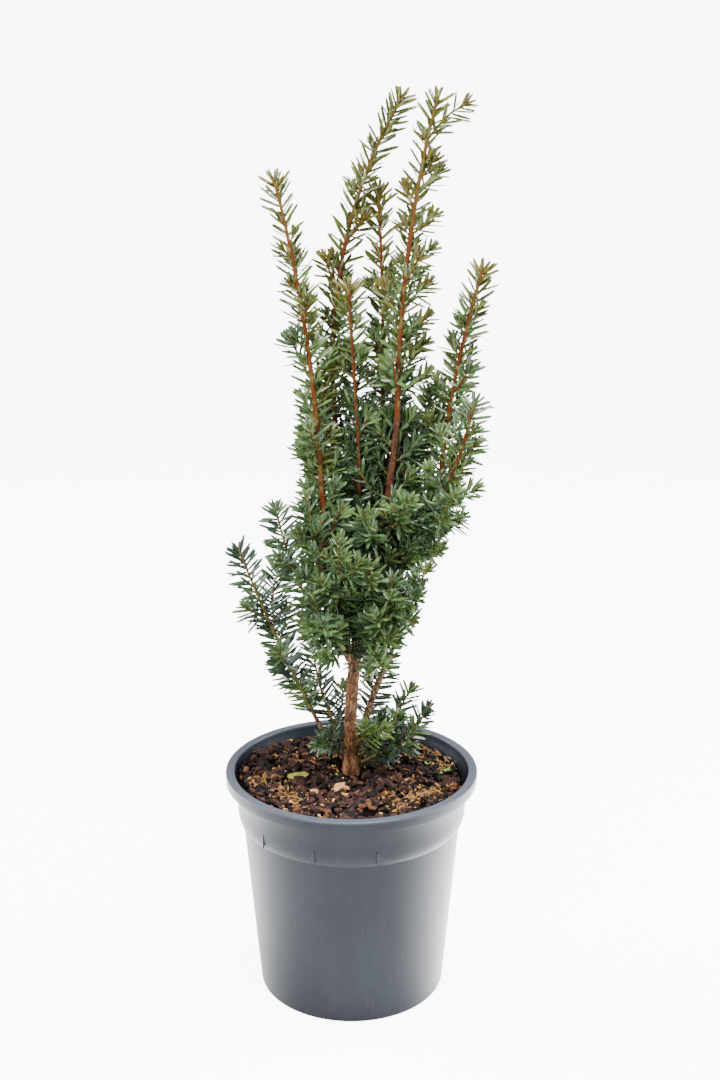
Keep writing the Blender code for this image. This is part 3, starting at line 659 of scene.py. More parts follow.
def pot_material(pot):
    """Moulded plastic with scuffs and fine streaks, and a painted highlight on the top of the rim and
    along the ledge.
    """
    made, tree, shader = new_material("pot_slate_plastic", 0.36)
    scuffed, scuffs = mottle(tree, pot.slate, pot.faded, 38.0, (1.0, 1.0, 0.35), 0.42, 0.8)
    _, streaks = mottle(tree, pot.slate, pot.faded, 420.0, (1.0, 1.0, 0.06), 0.62, 0.95)
    shade = mixed(tree, ranged(tree, streaks, 0.0, 1.0, 0.0, 0.35), scuffed, (0.09, 0.1, 0.115))
    height = parts_of(tree, object_place(tree))["Z"]
    # Painted highlight: the top of the rim and a thin line along the ledge are mixed towards the rim
    # colour
    shade = mixed(tree, ranged(tree, height, *RIM_HIGHLIGHT, 0.0, 0.9), shade, pot.rim)
    over, under = (ranged(tree, height, *band, 0.0, 0.7) for band in LEDGE_HIGHLIGHT)
    shade = mixed(tree, reckoned(tree, "MINIMUM", over, under), shade, pot.rim)
    feed(shader, {"Base Color": shade, "Roughness": ranged(tree, scuffs, 0.0, 1.0, 0.3, 0.4)})
    bump(tree, shader, mottle(tree, pot.slate, pot.faded, 900.0)[1], 0.00004, 0.6)
    return made


# Heights in metres between which one bark gives way to the next
FOOT_TO_PLATES = (0.178, 0.212)
TRUNK_TO_YOUNG = (0.29, 0.36)
BOUGH_TO_YOUNG = (0.26, 0.33)


def bark_material(name, bark, plates, old=False):
    """Plates over red fissures by the piece's own relief. Old bark is orange at its foot."""
    made, tree, shader = new_material(name)
    relief = add_node(tree, "Attribute", attribute_name="relief").outputs["Fac"]
    grained, grain = mottle(tree, bark.fissure, bark.plate, 700.0, (1.0, 1.0, 0.3), 0.3, 0.7)
    height = parts_of(tree, object_place(tree))["Z"]
    if old:
        plate = mixed(tree, ranged(tree, height, *FOOT_TO_PLATES), bark.foot, plates)
        plate = mixed(tree, ranged(tree, height, *TRUNK_TO_YOUNG), plate, bark.young)
    else:
        plate = mixed(tree, ranged(tree, height, *BOUGH_TO_YOUNG), plates, bark.young)
    shade = mixed(tree, ranged(tree, relief, 0.08, 0.5), bark.fissure, plate)
    _, flecks = mottle(tree, bark.fissure, bark.flake, 380.0, (1.0, 1.0, 0.4), 0.54, 0.64)
    _, cracks = mottle(tree, bark.fissure, bark.flake, 300.0, (1.0, 1.0, 0.3), 0.36, 0.46)
    for mask, low_share, high_share, laid in (
        (grain, 0.4, 0.1, grained),
        (ranged(tree, relief, 0.68, 0.95), 0.7, 0.15, bark.flake),
        (flecks, 0.6, 0.12, bark.flake),
    ):
        share = ranged(tree, height, *TRUNK_TO_YOUNG, low_share, high_share)
        shade = mixed(tree, reckoned(tree, "MULTIPLY", mask, share), shade, laid)
    shade = mixed(tree, ranged(tree, cracks, 0.0, 1.0, 0.75, 0.0), shade, bark.fissure)
    feed(shader, {"Base Color": shade, "Roughness": ranged(tree, relief, 0.0, 1.0, 0.9, 0.68)})
    bump(tree, shader, grain, 0.00025, 0.8)
    return made


def stem_material(name, skin, scar, top):
    """Skin of a shoot, with paler leaf scars, that turns greener towards a height."""
    made, tree, shader = new_material(name, 0.15)
    patched, patches = mottle(tree, skin, scar, 260.0, (1.0, 1.0, 0.6), 0.5, 0.72)
    share = ranged(tree, parts_of(tree, object_place(tree))["Z"], top[0], top[1], 0.0, top[2])
    rough = ranged(tree, patches, 0.0, 1.0, 0.8, 0.65)
    feed(shader, {"Base Color": mixed(tree, share, patched, scar), "Roughness": rough})
    bump(tree, shader, mottle(tree, skin, scar, 900.0, (1.0, 1.0, 0.2))[1], 0.00015, 0.8)
    return made


def needle_materials(name, base):
    """The glossy upper side, its lighter spots partly uneven tone and partly painted sheen, and the paler
    matt underside with its two bands.
    """
    upper, tree, shader = new_material(name + "_upper", 0.62)
    # The lighter spots are partly the needles' uneven tone and partly painted sheen
    light = tuple(min(1.0, 1.9 * channel + 0.012) for channel in base)
    spots, mask = mottle(tree, base, light, 120.0, low=0.38, high=0.66)
    feed(shader, {"Base Color": spots, "Roughness": ranged(tree, mask, 0.0, 1.0, 0.22, 0.34)})
    under, tree, shader = new_material(name + "_under")
    pale = tuple(min(1.0, 0.55 * channel + shift) for channel, shift in zip(light, (0.06, 0.085, 0.035)))
    paler = tuple(min(1.0, 1.35 * channel) for channel in pale)
    feed(shader, {"Base Color": mottle(tree, pale, paler, 160.0)[0], "Roughness": 0.55})
    return [upper, under]


# Pot and soil, by the same rules as the solids

def body_radius(height):
    """Outer radius of the tapering body under the ledge."""
    return BASE_RADIUS + (COLLAR_RADIUS - LEDGE_WIDTH - BASE_RADIUS) * height / COLLAR_BOTTOM


def inner_profile(spare):
    """The pot's inside from the floor's edge up to the collar's top, drawn in by a spare gap."""
    inset = WALL + spare
    return [
        (BASE_RADIUS - BASE_ROUND - spare, FLOOR + spare),
        (body_radius(BASE_ROUND + 1) - inset, BASE_ROUND + 1.5),
        (body_radius(COLLAR_BOTTOM) - inset, COLLAR_BOTTOM + 0.5 * WALL),
        (COLLAR_RADIUS - inset, COLLAR_BOTTOM + SHOULDER_HEIGHT),
    ]


def inner_radius(height):
    """The pot's inside over the ledge, which widens from the collar to the rim."""
    share = min(1.0, max(0.0, (height - RIM_FLARE[0]) / (RIM_FLARE[1] - RIM_FLARE[0])))
    collar = COLLAR_RADIUS - WALL
    return collar + (RIM_INNER_RADIUS - RIM_ROUND - collar) * share


def outer_profile():
    """The pot's outside from the underside up over the ledge and the hollow rim, and its inside down."""
    ledge = body_radius(COLLAR_BOTTOM)
    profile = [(BASE_RADIUS - BASE_ROUND - 3, 0)]
    profile += arc((body_radius(BASE_ROUND) - BASE_ROUND, BASE_ROUND), BASE_ROUND, -90, -4, 7)
    profile += [(body_radius(height), height) for height in (30, 70, 110, COLLAR_BOTTOM - 1.2)]
    profile += [(ledge - 0.1, COLLAR_BOTTOM - 0.4), (ledge + 0.7, COLLAR_BOTTOM)]
    profile += [
        (ledge + out * LEDGE_WIDTH, COLLAR_BOTTOM + up * SHOULDER_HEIGHT) for out, up in SHOULDER
    ]
    profile += [
        (COLLAR_RADIUS, COLLAR_BOTTOM + SHOULDER_HEIGHT + 4),
        (COLLAR_RADIUS + 0.2, UNDER_RIM - 3.4),
        (RIM_INNER_RADIUS + 0.4, UNDER_RIM + 1.2),
        (RIM_INNER_RADIUS + WALL, POT_HEIGHT - 2.2 * WALL),
        (RIM_RADIUS - WALL, POT_HEIGHT - 2.2 * WALL),
        (RIM_RADIUS - WALL, UNDER_RIM),
        (RIM_RADIUS - 0.7, UNDER_RIM),
        (RIM_RADIUS - 0.3, UNDER_RIM + 0.4),
        (RIM_RADIUS - 0.1, UNDER_RIM + 4),
    ]
    profile += arc((RIM_RADIUS - RIM_EDGE, POT_HEIGHT - RIM_EDGE), RIM_EDGE, 0, 90, 5)
    profile += arc((RIM_INNER_RADIUS + RIM_ROUND, POT_HEIGHT - RIM_ROUND), RIM_ROUND, 90, 180, 4)
    profile += [(inner_radius(height), height) for height in reversed(RIM_FLARE)]
    return profile + inner_profile(0)[::-1]


# Growth, by the same rules as the solids

Course = namedtuple("Course", "points radii")


def course_of(points, radii):
    """A course through points in metres, with its radii in millimetres."""
    return Course(points, [radius * MM for radius in radii])


def curve_through(spots, count):
    """A smooth course through the spots, evenly stepped between each two."""
    ends = [2.0 * spots[0] - spots[1]] + spots + [2.0 * spots[-1] - spots[-2]]
    course = []
    for step in range(count + 1):
        along = step / count * (len(spots) - 1)
        index = min(int(along), len(spots) - 2)
        t = along - index
        before, start, end, after = ends[index:index + 4]
        course.append(0.5 * (
            2.0 * start + (end - before) * t
            + (2.0 * before - 5.0 * start + 4.0 * end - after) * t * t
            + (3.0 * start - before - 3.0 * end + after) * t ** 3
        ))
    return course


def run_of(points):
    return sum((b - a).length for a, b in zip(points, points[1:]))


def smoothed(course, spacing):
    """The same course with more and rounder stretches."""
    between = len(course.points) - 1
    count = between * max(1, round(run_of(course.points) / (spacing * MM) / between))
    radii = np.interp(np.linspace(0, between, count + 1), range(len(course.radii)), course.radii)
    return Course(curve_through(list(course.points), count), [float(radius) for radius in radii])


def tangent_at(points, index):
    return (points[min(index + 1, len(points) - 1)] - points[max(index - 1, 0)]).normalized()


def any_side(direction):
    other = Vector((1.0, 0.0, 0.0)) if abs(direction.x) < 0.7 else Vector((0.0, 1.0, 0.0))
    return direction.cross(other).normalized()


def turned(tangent, turn):
    """A direction away from a tangent, at an angle round it."""
    side = any_side(tangent)
    return side * math.cos(turn) + tangent.cross(side) * math.sin(turn)


def leaning(tangent, radial, degrees):
    lean = math.radians(degrees)
    return tangent * math.cos(lean) + radial * math.sin(lean)


def trunk_radius(height):
    """Radius by height over the soil: root flare, an even stem, then thinner past the fork."""
    if height < FLARE_HEIGHT:
        flare = (1.0 - height / FLARE_HEIGHT) ** 2
        return STEM_RADIUS + (FLARE_RADIUS - STEM_RADIUS) * flare
    fork = FORK_HEIGHT - SOIL_LEVEL
    if height < fork:
        return STEM_RADIUS
    share = (height - fork) / (TRUNK_COURSE[-1][2] - FORK_HEIGHT)
    above = ABOVE_FORK_RADIUS + (TRUNK_TIP_RADIUS - ABOVE_FORK_RADIUS) * share
    return STEM_RADIUS + (above - STEM_RADIUS) * min(1.0, share * ABOVE_FORK_STEPS)


def plan_trunk():
    points = curve_through([place(point) for point in TRUNK_COURSE], TRUNK_RINGS)
    return course_of(points, [trunk_radius((point.z - points[0].z) / MM) for point in points])


def spot_at_height(carrier, height):
    """The axis point, radius and direction of a carrier at a height in millimetres."""
    index = 0
    while carrier.points[index + 1].z < height * MM:
        index += 1
    below, above = carrier.points[index], carrier.points[index + 1]
    share = (height * MM - below.z) / (above.z - below.z)
    radius = carrier.radii[index] + (carrier.radii[index + 1] - carrier.radii[index]) * share
    return below.lerp(above, share), radius, (above - below).normalized()


def plan_limb(carrier, limb, tip_radius):
    """The course of a limb that starts just clear of its carrier, and the way its foot faces."""
    knee = place(limb.knee)
    tip = place(limb.tip)
    if limb.height is TIP:
        facing = tangent_at(carrier.points, len(carrier.points) - 1)
        foot = carrier.points[-1] + facing * CLEARANCE * MM
        first = foot.lerp(knee, 2.0 / 3.0)
    else:
        axis, _, onward = spot_at_height(carrier, limb.height)
        _, radius, _ = spot_at_height(carrier, limb.height - limb.foot_radius)
        facing = knee - axis
        facing = (facing - onward * facing.dot(onward)).normalized()
        foot = axis + facing * (radius + CLEARANCE * MM)
        first = foot + (facing + LIMB_RISE * onward).normalized() * LIMB_START * (knee - foot).length
    second = tip.lerp(knee, 2.0 / 3.0)
    length = (knee - foot).length + (tip - knee).length
    rings = max(3, round(length / (STEM_RING_SPACING * MM)))
    points = []
    radii = []
    for step in range(rings + 1):
        t = step / rings
        s = 1.0 - t
        points.append(foot * s ** 3 + first * 3 * s * s * t + second * 3 * s * t * t + tip * t ** 3)
        radii.append(limb.foot_radius * s + tip_radius * t)
    return course_of(points, radii), facing


def stretches(courses):
    """Starts, ends and radii of every straight stretch of some courses, as arrays."""
    rows = [
        (course.points[index], course.points[index + 1], max(course.radii[index:index + 2]))
        for course in courses for index in range(len(course.points) - 1)
    ]
    return [np.array(column) for column in zip(*rows)]


def distance_to(spots, lines):
    """Distance in metres from each spot to the nearest limb surface."""
    starts, ends, radii = lines
    run = ends - starts
    from_start = spots[:, None, :] - starts[None, :, :]
    along = np.clip((from_start * run).sum(axis=2) / (run * run).sum(axis=1), 0.0, 1.0)
    gap = np.linalg.norm(from_start - along[:, :, None] * run[None, :, :], axis=2) - radii
    return gap.min(axis=1)


def soil_height(x, y):
    """Rough bark surface, level under and round the trunk."""
    waves = math.sin(0.13 * x + 0.4) * math.cos(0.11 * y - 0.7) + 0.6 * math.sin(0.23 * x - 0.19 * y)
    slope = (SOIL_SLOPE[0] if x < 0.0 else SOIL_SLOPE_RIGHT) * x + SOIL_SLOPE[1] * y
    share = min(1.0, max(0.0, (from_foot(x, y) - FOOT_PATCH) / FOOT_PATCH))
    return SOIL_LEVEL + (SOIL_ROUGHNESS * waves + slope) * share


def from_foot(x, y):
    return math.hypot(x - TRUNK_FOOT[0], y - TRUNK_FOOT[1])


def in_the_clear(spots, room=1.0):
    """True where every spot is over the soil and clear of the pot's rim."""
    for x, y, z in np.array(spots) / MM:
        inside = math.hypot(x, y) < COLLAR_RADIUS - WALL - room * RIM_ROOM
        over_soil = z > soil_height(x, y) + room * SOIL_ROOM
        if z < POT_HEIGHT + room * RIM_ROOM and not (inside and over_soil):
            return False
    return True


def spot_on(course, share):
    """The point and the direction at a share of a course's stretches."""
    position = share * (len(course.points) - 1)
    index = min(int(position), len(course.points) - 2)
    below, above = course.points[index], course.points[index + 1]
    return below.lerp(above, position - index), (above - below).normalized()


def twig_course(foot, middle, end):
    return course_of([foot, middle, end], [TWIG_RADIUS, 0.85 * TWIG_RADIUS, TWIG_TIP_RADIUS])


def sprig_course(foot, middle, end):
    return course_of([foot, middle, end], [SPRIG_RADIUS, 0.9 * SPRIG_RADIUS, 0.6 * SPRIG_RADIUS])


def plan_twigs(mass, stem, others, dice):
    """A mass's arms, then twigs at the golden angle, skipped where they would crowd another."""
    habit = HABITS[mass.habit]
    twigs = []
    for share, tip in mass.arms:
        foot, direction = spot_on(stem, share)
        run = place(tip) - foot
        middle = foot + 0.5 * run + ARM_BOW * run.length * direction
        twigs.append(twig_course(foot, middle, place(tip)))
    turn = dice.uniform(0.0, FULL_TURN)
    for number in range(mass.growth):
        turn += GOLDEN_ANGLE
        share = habit.first_twig + (habit.last_twig - habit.first_twig) * (number + 0.5) / mass.growth
        foot, tangent = spot_on(stem, share)
        length = habit.twig * dice.uniform(0.8, 1.2) * (1.2 - 0.8 * share) * MM
        heading = leaning(tangent, turned(tangent, turn), habit.twig_lean)
        middle = foot + heading * 0.5 * length
        end = middle + (heading + Vector((0.0, 0.0, TWIG_RISE))).normalized() * 0.5 * length
        spots = np.array([middle, middle.lerp(end, 0.5), end])
        if in_the_clear(spots) and distance_to(spots, others).min() > TWIG_ROOM * MM:
            twigs.append(twig_course(foot, middle, end))
    return twigs


def in_crown(point, inset=0.0):
    """True in the thick of the crown, drawn in by an inset in millimetres."""
    x, y, z = point / MM
    heights, lefts, rights = zip(*CROWN_SIDES)
    left = np.interp(z, heights, lefts) + inset
    right = np.interp(z, heights, rights) - inset
    across = (x - 0.5 * (left + right)) / (0.5 * (right - left))
    away = (y - CROWN_MIDDLE) / (0.5 * CROWN_DEPTH * (right - left))
    return heights[0] <= z <= heights[-1] and across * across + away * away < 1.0


def past_right_edge(point, inset=0.0):
    """True where a point lies further right than the crown does at its height."""
    return point.x / MM > np.interp(point.z / MM, *zip(*CROWN_RIGHT_EDGE)) - inset


def hides_back_bough(point):
    """True in front of the back bough, where it shows bare under the crown."""
    x, y, z = point / MM
    return x > BACK_BOUGH_SHOWS[0] and y < BACK_BOUGH_SHOWS[1] and z < BACK_BOUGH_SHOWS[2]


def plan_sprigs(zones, course, others, fits, dice):
    """The finest side shoots of one carrier, as many and as long as their heights ask."""
    length = run_of(course.points) / MM
    sprigs = []
    turn = dice.uniform(0.0, FULL_TURN)
    at = dice.uniform(2.0, 8.0)
    while at < length - 5.0:
        turn += GOLDEN_ANGLE
        foot, tangent = spot_on(course, at / length)
        zone = next(zone for zone in zones if foot.z < zone.top * MM)
        at += zone.gap * dice.uniform(0.8, 1.2)
        radial = turned(tangent, turn)
        heading = leaning(tangent, radial, zone.lean * dice.uniform(0.85, 1.15))
        rising = (heading + Vector((0.0, 0.0, SPRIG_RISE))).normalized()
        reach = zone.sprig * dice.uniform(0.6, 1.2) * min(1.0, 0.35 + (length - at) / 60.0) * MM
        if not reach or -radial.y > zone.front:
            continue
        for shorter in SPRIG_SHORTER:
            middle = foot + heading * 0.5 * reach * shorter
            end = middle + rising * 0.5 * reach * shorter
            spots = np.array([middle, end])
            if fits(end) and in_the_clear(spots) and distance_to(spots, others).min() > SPRIG_ROOM * MM:
                sprigs.append(sprig_course(foot, middle, end))
                break
    return sprigs


Shoot = namedtuple("Shoot", "mass spread course order")


class Plant:
    """Every limb and shoot, planned once and used by all the plant's operators."""

    planned = None

    def __init__(self):
        self.limbs = {"trunk": plan_trunk()}
        self.facings = {}
        for bough in BOUGHS:
            carrier = self.limbs[bough.carrier]
            course, self.facings[bough.name] = plan_limb(carrier, bough, bough.tip_radius)
            self.limbs[bough.name] = course
        limbs = list(self.limbs.values())
        self.limb_lines = stretches(limbs)
        self.stems = {
            mass.name: plan_limb(self.limbs[mass.carrier], mass, HABITS[mass.habit].stem_tip_radius)[0]
            for mass in MASSES
        }
        grown = {name: [stem] for name, stem in self.stems.items()}
        for mass in MASSES:
            others = [course for name, own in grown.items() if name != mass.name for course in own]
            dice = random.Random(f"{SEED} {mass.name}")
            grown[mass.name] += plan_twigs(mass, self.stems[mass.name], stretches(others + limbs), dice)
        self.shoots = []
        for mass in MASSES:
            others = [course for name, own in grown.items() if name != mass.name for course in own]
            self.grow_sprigs(mass, grown[mass.name], stretches(others + limbs))
        lines = stretches([course for own in grown.values() for course in own])
        for name, course in self.limbs.items():
            dice = random.Random(f"{SEED} sprigs {name}")
            zones = SPRIG_ZONES["limb"]
            for sprig in plan_sprigs(zones, course, lines, lambda end: in_crown(end, SPRIG_INSET), dice):
                self.shoots.append(Shoot("inner", SPREADS["sprig"], sprig, 2))
        for carrier, tip in SEEN_SPRIGS:
            tip = place(tip)
            foot, _, tangent = spot_at_height(self.carrier(carrier), tip.z / MM - SEEN_RISE)
            middle = foot.lerp(tip, 0.5) - SEEN_BOW * (tip - foot).length * tangent
            mass = carrier if carrier in self.stems else "inner"
            self.shoots.append(Shoot(mass, SPREADS["sprig"], sprig_course(foot, middle, tip), 2))
        bough = self.limbs[NEEDLED_BOUGH]
        self.shoots.append(Shoot(NEEDLED_BOUGH, SPREADS["comb"], bough, BARE_FOOT_ORDER))

    def grow_sprigs(self, mass, own, others):
        """Take over a mass's stem and twigs as shoots, and grow sprigs on each."""
        dice = random.Random(f"{SEED} sprigs {mass.name}")
        low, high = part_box(mass.name)
        comb = mass.name in COMBS
        habit = "low" if mass.name in LOW_SHOOTS else mass.habit

        def fits(end):
            inside = all(low[axis] < end[axis] < high[axis] for axis in range(3))
            free = habit == "low" or not past_right_edge(end, EDGE_INSET)
            return (inside or in_crown(end, SPRIG_INSET)) and free

        for order, course in enumerate(own):
            spread = SPREADS["comb" if comb else habit]
            self.shoots.append(Shoot(mass.name, spread, course, min(order, 1)))
            zones = SPRIG_ZONES["comb" if comb else "twig" if order else habit]
            for sprig in plan_sprigs(zones, course, others, fits, dice):
                self.shoots.append(Shoot(mass.name, SPREADS["sprig"], sprig, 2))

    def carrier(self, name):
        return self.stems.get(name) or self.limbs[name]

    @classmethod
    def get(cls):
        if cls.planned is None:
            cls.planned = cls()
        return cls.planned


# Limbs, with the fineness of their bark by the metre, and how little of the height its cells count
BARK_WARP = 420
BARK_CELLS = 620
BARK_GRAIN = 1500
BARK_STRETCH = 0.32


def ring_frames(points):
    """A direction and two sides for each point, carried along without twist."""
    frames = []
    normal = any_side(tangent_at(points, 0))
    for index in range(len(points)):
        tangent = tangent_at(points, index)
        normal = (normal - tangent * normal.dot(tangent)).normalized()
        frames.append((tangent, normal, tangent.cross(normal)))
    return frames


def bark_height(spot):
    """0 in a fissure to 1 on a flake, for long cells that each lie a little high or low."""
    warp = noise.noise_vector(spot * BARK_WARP) * 0.5
    near, cells = noise.voronoi(Vector((spot.x, spot.y, spot.z * BARK_STRETCH)) * BARK_CELLS + warp)
    gap = min(1.0, (near[1] - near[0]) * 2.6)
    lift = 0.5 + 0.5 * noise.cell(cells[0] * 3.1)
    return gap * (0.3 + 0.7 * lift) + 0.15 * noise.noise(spot * BARK_GRAIN)


def rolled_limb(name, course, sides, relief, swell=None):
    """A grid rolled round a course, with the bark's relief, closed at both ends."""
    frames = ring_frames(course.points)
    rings = len(course.points) - 1
    deselect()
    bpy.ops.mesh.primitive_grid_add(x_subdivisions=sides, y_subdivisions=rings, size=1.0)
    limb = added(name)
    heights = []
    for vert in limb.data.vertices:
        index = round((vert.co.y + 0.5) * rings)
        angle = FULL_TURN * (vert.co.x + 0.5)
        _, normal, side = frames[index]
        radius = course.radii[index] * (swell(course.points[index], angle) if swell else 1.0)
        out = normal * math.cos(angle) + side * math.sin(angle)
        height = bark_height(course.points[index] + out * radius)
        heights.append(height)
        vert.co = course.points[index] + out * (radius + relief * (height - 0.6))
    limb.data.attributes.new("relief", "FLOAT", "POINT").data.foreach_set("value", heights)
    edit(
        lambda: bpy.ops.mesh.remove_doubles(threshold=0.00001),
        lambda: bpy.ops.mesh.fill_holes(sides=0),
        face_outwards,
    )
    only(limb)
    bpy.ops.object.shade_smooth()
    return limb


def tubes(name, courses, sides, surfaces):
    """Many thin round stems in one mesh, each closed at both ends."""
    points, faces = [], []
    for course in courses:
        first = len(points)
        frames = ring_frames(course.points)
        for point, radius, (_, normal, side) in zip(course.points, course.radii, frames):
            for step in range(sides):
                angle = FULL_TURN * step / sides
                points.append(point + (normal * math.cos(angle) + side * math.sin(angle)) * radius)
        for low in range(first, len(points) - sides, sides):
            for step in range(sides):
                after = (step + 1) % sides
                faces.append((low + step, low + after, low + sides + after, low + sides + step))
        faces.append([first + step for step in reversed(range(sides))])
        faces.append([len(points) - sides + step for step in range(sides)])
    piece = mesh_piece(name, points, faces, surfaces)
    piece.data.shade_smooth()
    return piece


# Needles

Needle = namedtuple("Needle", "root heading top length width bend")


def needle_growth(shoot, total, dice, density):
    """Place along a shoot, lean and share of the usual length of each needle, the rosette's last."""
    spread = shoot.spread
    points = shoot.course.points
    closed = OPEN_TIP if spread is SPREADS["leader"] and shoot.order == 0 else 1.0
    bare_foot = shoot.order == BARE_FOOT_ORDER
    at = BARE_FOOT * total if bare_foot else FIRST_NEEDLE[shoot.order] * MM
    while at < total - 2.0 * MM:
        near_tip = max(0.0, 1.0 - (total - at) / max(TIP_ZONE * MM, TIP_SHARE * total))
        height = (points[0].z + (points[-1].z - points[0].z) * at / total) / MM
        lean = np.interp(height, THICK_TO_OPEN, spread.leans) * dice.uniform(0.82, 1.14)
        share = dice.uniform(0.74, 1.1) * (1.0 - 0.2 * closed * near_tip)
        yield at, lean * (1.0 - 0.3 * closed * near_tip), share
        gap = np.interp(height, THICK_TO_OPEN, spread.gaps) * MM / density
        at += gap * dice.uniform(0.8, 1.2) * (1.0 - (0.7 - 0.25 * closed) * near_tip)
    for step in range(0 if bare_foot else ROSETTE):
        lean = (10.0 + 5.8 * step * dice.uniform(0.85, 1.15)) * (1.5 - 0.5 * closed)
        yield total - 0.35 * MM * step, lean, 0.5 + 0.035 * step + 0.1 * (1.0 - closed)


def needles_along(shoot, dice, density, reach):
    """Needles at the golden angle along one shoot, and how far each is from its tip."""
    spread = shoot.spread
    points = shoot.course.points
    lengths = [(b - a).length for a, b in zip(points, points[1:])]
    total = sum(lengths)
    growth = list(needle_growth(shoot, total, dice, density))
    turn = dice.uniform(0.0, FULL_TURN)
    for at, lean, share in growth:
        turn += GOLDEN_ANGLE + dice.uniform(-0.15, 0.15)
        left = total - at
        index = 0
        while index < len(lengths) - 1 and at > lengths[index]:
            at -= lengths[index]
            index += 1
        tangent = (points[index + 1] - points[index]).normalized()
        root = points[index] + tangent * at
        radial = turned(tangent, turn) * Vector(spread.flat)
        radial = (radial - tangent * radial.dot(tangent)).normalized()
        heading = leaning(tangent, radial, lean)
        around = tangent.cross(radial)
        twist = spread.twist * dice.uniform(0.3, 1.3) * (-1.0 if around.y > 0.0 else 1.0)
        upward = tangent + Vector(spread.face) + twist * around
        top = (upward - heading * upward.dot(heading)).normalized()
        side = heading.cross(top)
        bend = side * dice.uniform(-0.1, 0.1) - top * (spread.droop + dice.uniform(-0.06, 0.08))
        length = spread.needle * share * MM
        for shorter in NEEDLE_SHORTER:
            tip = root + (heading + bend) * length * shorter
            if reach(tip) and in_the_clear([root + heading * 0.4 * length, tip], 0.25):
                width = spread.broad * dice.uniform(0.85, 1.12) * (0.8 + 0.2 * share)
                yield Needle(root, heading, top, length * shorter, width, bend), left
                break


def blades(name, needles, width, thickness, surfaces):
    """All the needles of one colour in one mesh: flat closed blades with a ridge above and below."""
    roots, headings, tops, lengths, widths, bends = (np.array(column) for column in zip(*needles))
    sides = np.cross(headings, tops)
    lengths = lengths[:, None]
    halves = widths[:, None] * 0.5 * width
    points = np.empty((len(needles), NEEDLE_POINTS, 3))
    points[:, 0] = roots
    points[:, -1] = roots + (headings + bends) * lengths
    for ring, (share, half, ridge) in enumerate(NEEDLE_RINGS):
        middle = roots + headings * lengths * share + bends * lengths * share ** 2
        points[:, 4 * ring + 1] = middle + sides * halves * half
        points[:, 4 * ring + 2] = middle + tops * thickness * ridge
        points[:, 4 * ring + 3] = middle - sides * halves * half
        points[:, 4 * ring + 4] = middle - tops * 0.35 * thickness * ridge
    template, indices = [], []
    last = NEEDLE_POINTS - 1
    for step in range(4):
        after = (step + 1) % 4
        template.append((0, 1 + step, 1 + after))
        for ring in range(1, last - 4, 4):
            template.append((ring + after, ring + step, ring + 4 + step, ring + 4 + after))
        template.append((last, last - 4 + after, last - 4 + step))
        indices += [0 if step < 2 else 1] * 4
    faces = [
        [NEEDLE_POINTS * number + corner for corner in face]
        for number in range(len(needles)) for face in template
    ]
    piece = mesh_piece(name, points.reshape(-1, 3).tolist(), faces, surfaces, indices * len(needles))
    piece.data.shade_smooth()
    piece.data.set_sharp_from_angle(angle=math.radians(NEEDLE_CREASE))
    return piece


def colour_of_spray(shoot, spot, at_tip, dice):
    """The kind of colour a spray is dealt, by habit, height, painted shade deep in the crown and place on
    a shoot.
    """
    z = spot.z / MM
    roll = dice.random()
    if shoot.mass == "tuft_low_right":
        return "bright" if roll < 0.7 else "green"
    if shoot.mass.startswith("tuft") or z < 255.0 or (shoot.mass in COMBS and z < 365.0):
        green = 0.35 if at_tip else 0.1
        return "green" if roll < green else "dark" if roll < green + 0.25 else "blue"
    right = shoot.mass.startswith("leader_right")
    # Inside the crown, needles away from the tips are dealt the darkest green as painted shade
    if z < 460.0 and in_crown(spot, 16.0) and not right:
        return dice.choice(("dark", "green") if at_tip else ("deep", "deep", "dark"))
    if shoot.mass.startswith("leader"):
        fresh = min(0.35, max(0.0, (z - 520.0) / 400.0)) + (0.4 if at_tip and z > 500.0 else 0.0)
        olive = min(0.6, max(0.06, (z - 375.0) / 260.0)) + (0.12 if at_tip and z > 420.0 else 0.0)
        if right:
            fresh, olive = 0.4 * fresh, 0.35 * olive
        if roll < fresh:
            return "fresh"
        if roll < fresh + olive:
            return "olive"
        return "green" if dice.random() < 0.65 else "dark"
    olive = max(0.0, (z - 390.0) / 500.0) + (0.06 if at_tip and z > 390.0 else 0.0)
    if roll < olive:
        return "olive"
    return "green" if roll < olive + (0.6 if at_tip else 0.3) else "dark"


def before_shown_stems(plant, roots, tips):
    """True for each needle that would hide one of the stems to be seen from the front."""
    hidden = np.zeros(len(roots), bool)
    for name, lowest, width in SHOWN_STEMS:
        axis = np.array((plant.limbs.get(name) or plant.stems[name]).points)
        axis = axis[axis[:, 2] > (lowest - RING_SLACK) * MM]
        levels = axis[:, 2] + SHOWN_SLOPE * axis[:, 1]
        for share in (0.3, 0.55, 0.8, 1.0):
            spots = roots + (tips - roots) * share
            level = spots[:, 2] + SHOWN_SLOPE * spots[:, 1]
            beside = np.abs(spots[:, 0] - np.interp(level, levels, axis[:, 0])) < width * MM
            before = spots[:, 1] < np.interp(level, levels, axis[:, 1]) - BEFORE_STEM * MM
            hidden |= beside & before & (level > levels[0]) & (level < levels[-1])
    return hidden


def keep_clear(plant, kind, needles):
    """Those needles that touch no limb, and few of those before the stems to be seen."""
    roots = np.array([needle.root for needle in needles])
    halves = np.array([needle.root + needle.heading * 0.55 * needle.length for needle in needles])
    tips = np.array([needle.root + (needle.heading + needle.bend) * needle.length for needle in needles])
    clear = np.ones(len(needles), bool)
    for start in range(0, len(needles), NEEDLES_AT_ONCE):
        part = slice(start, start + NEEDLES_AT_ONCE)
        for spots in (halves, tips):
            clear[part] &= distance_to(spots[part], plant.limb_lines) > NEEDLE_CLEAR * MM
    dice = random.Random(f"{SEED} shown {kind}")
    return [
        needle for needle, free, hides in zip(needles, clear, before_shown_stems(plant, roots, tips))
        if free and not (hides and dice.random() < SHOWN_SHARE)
    ]


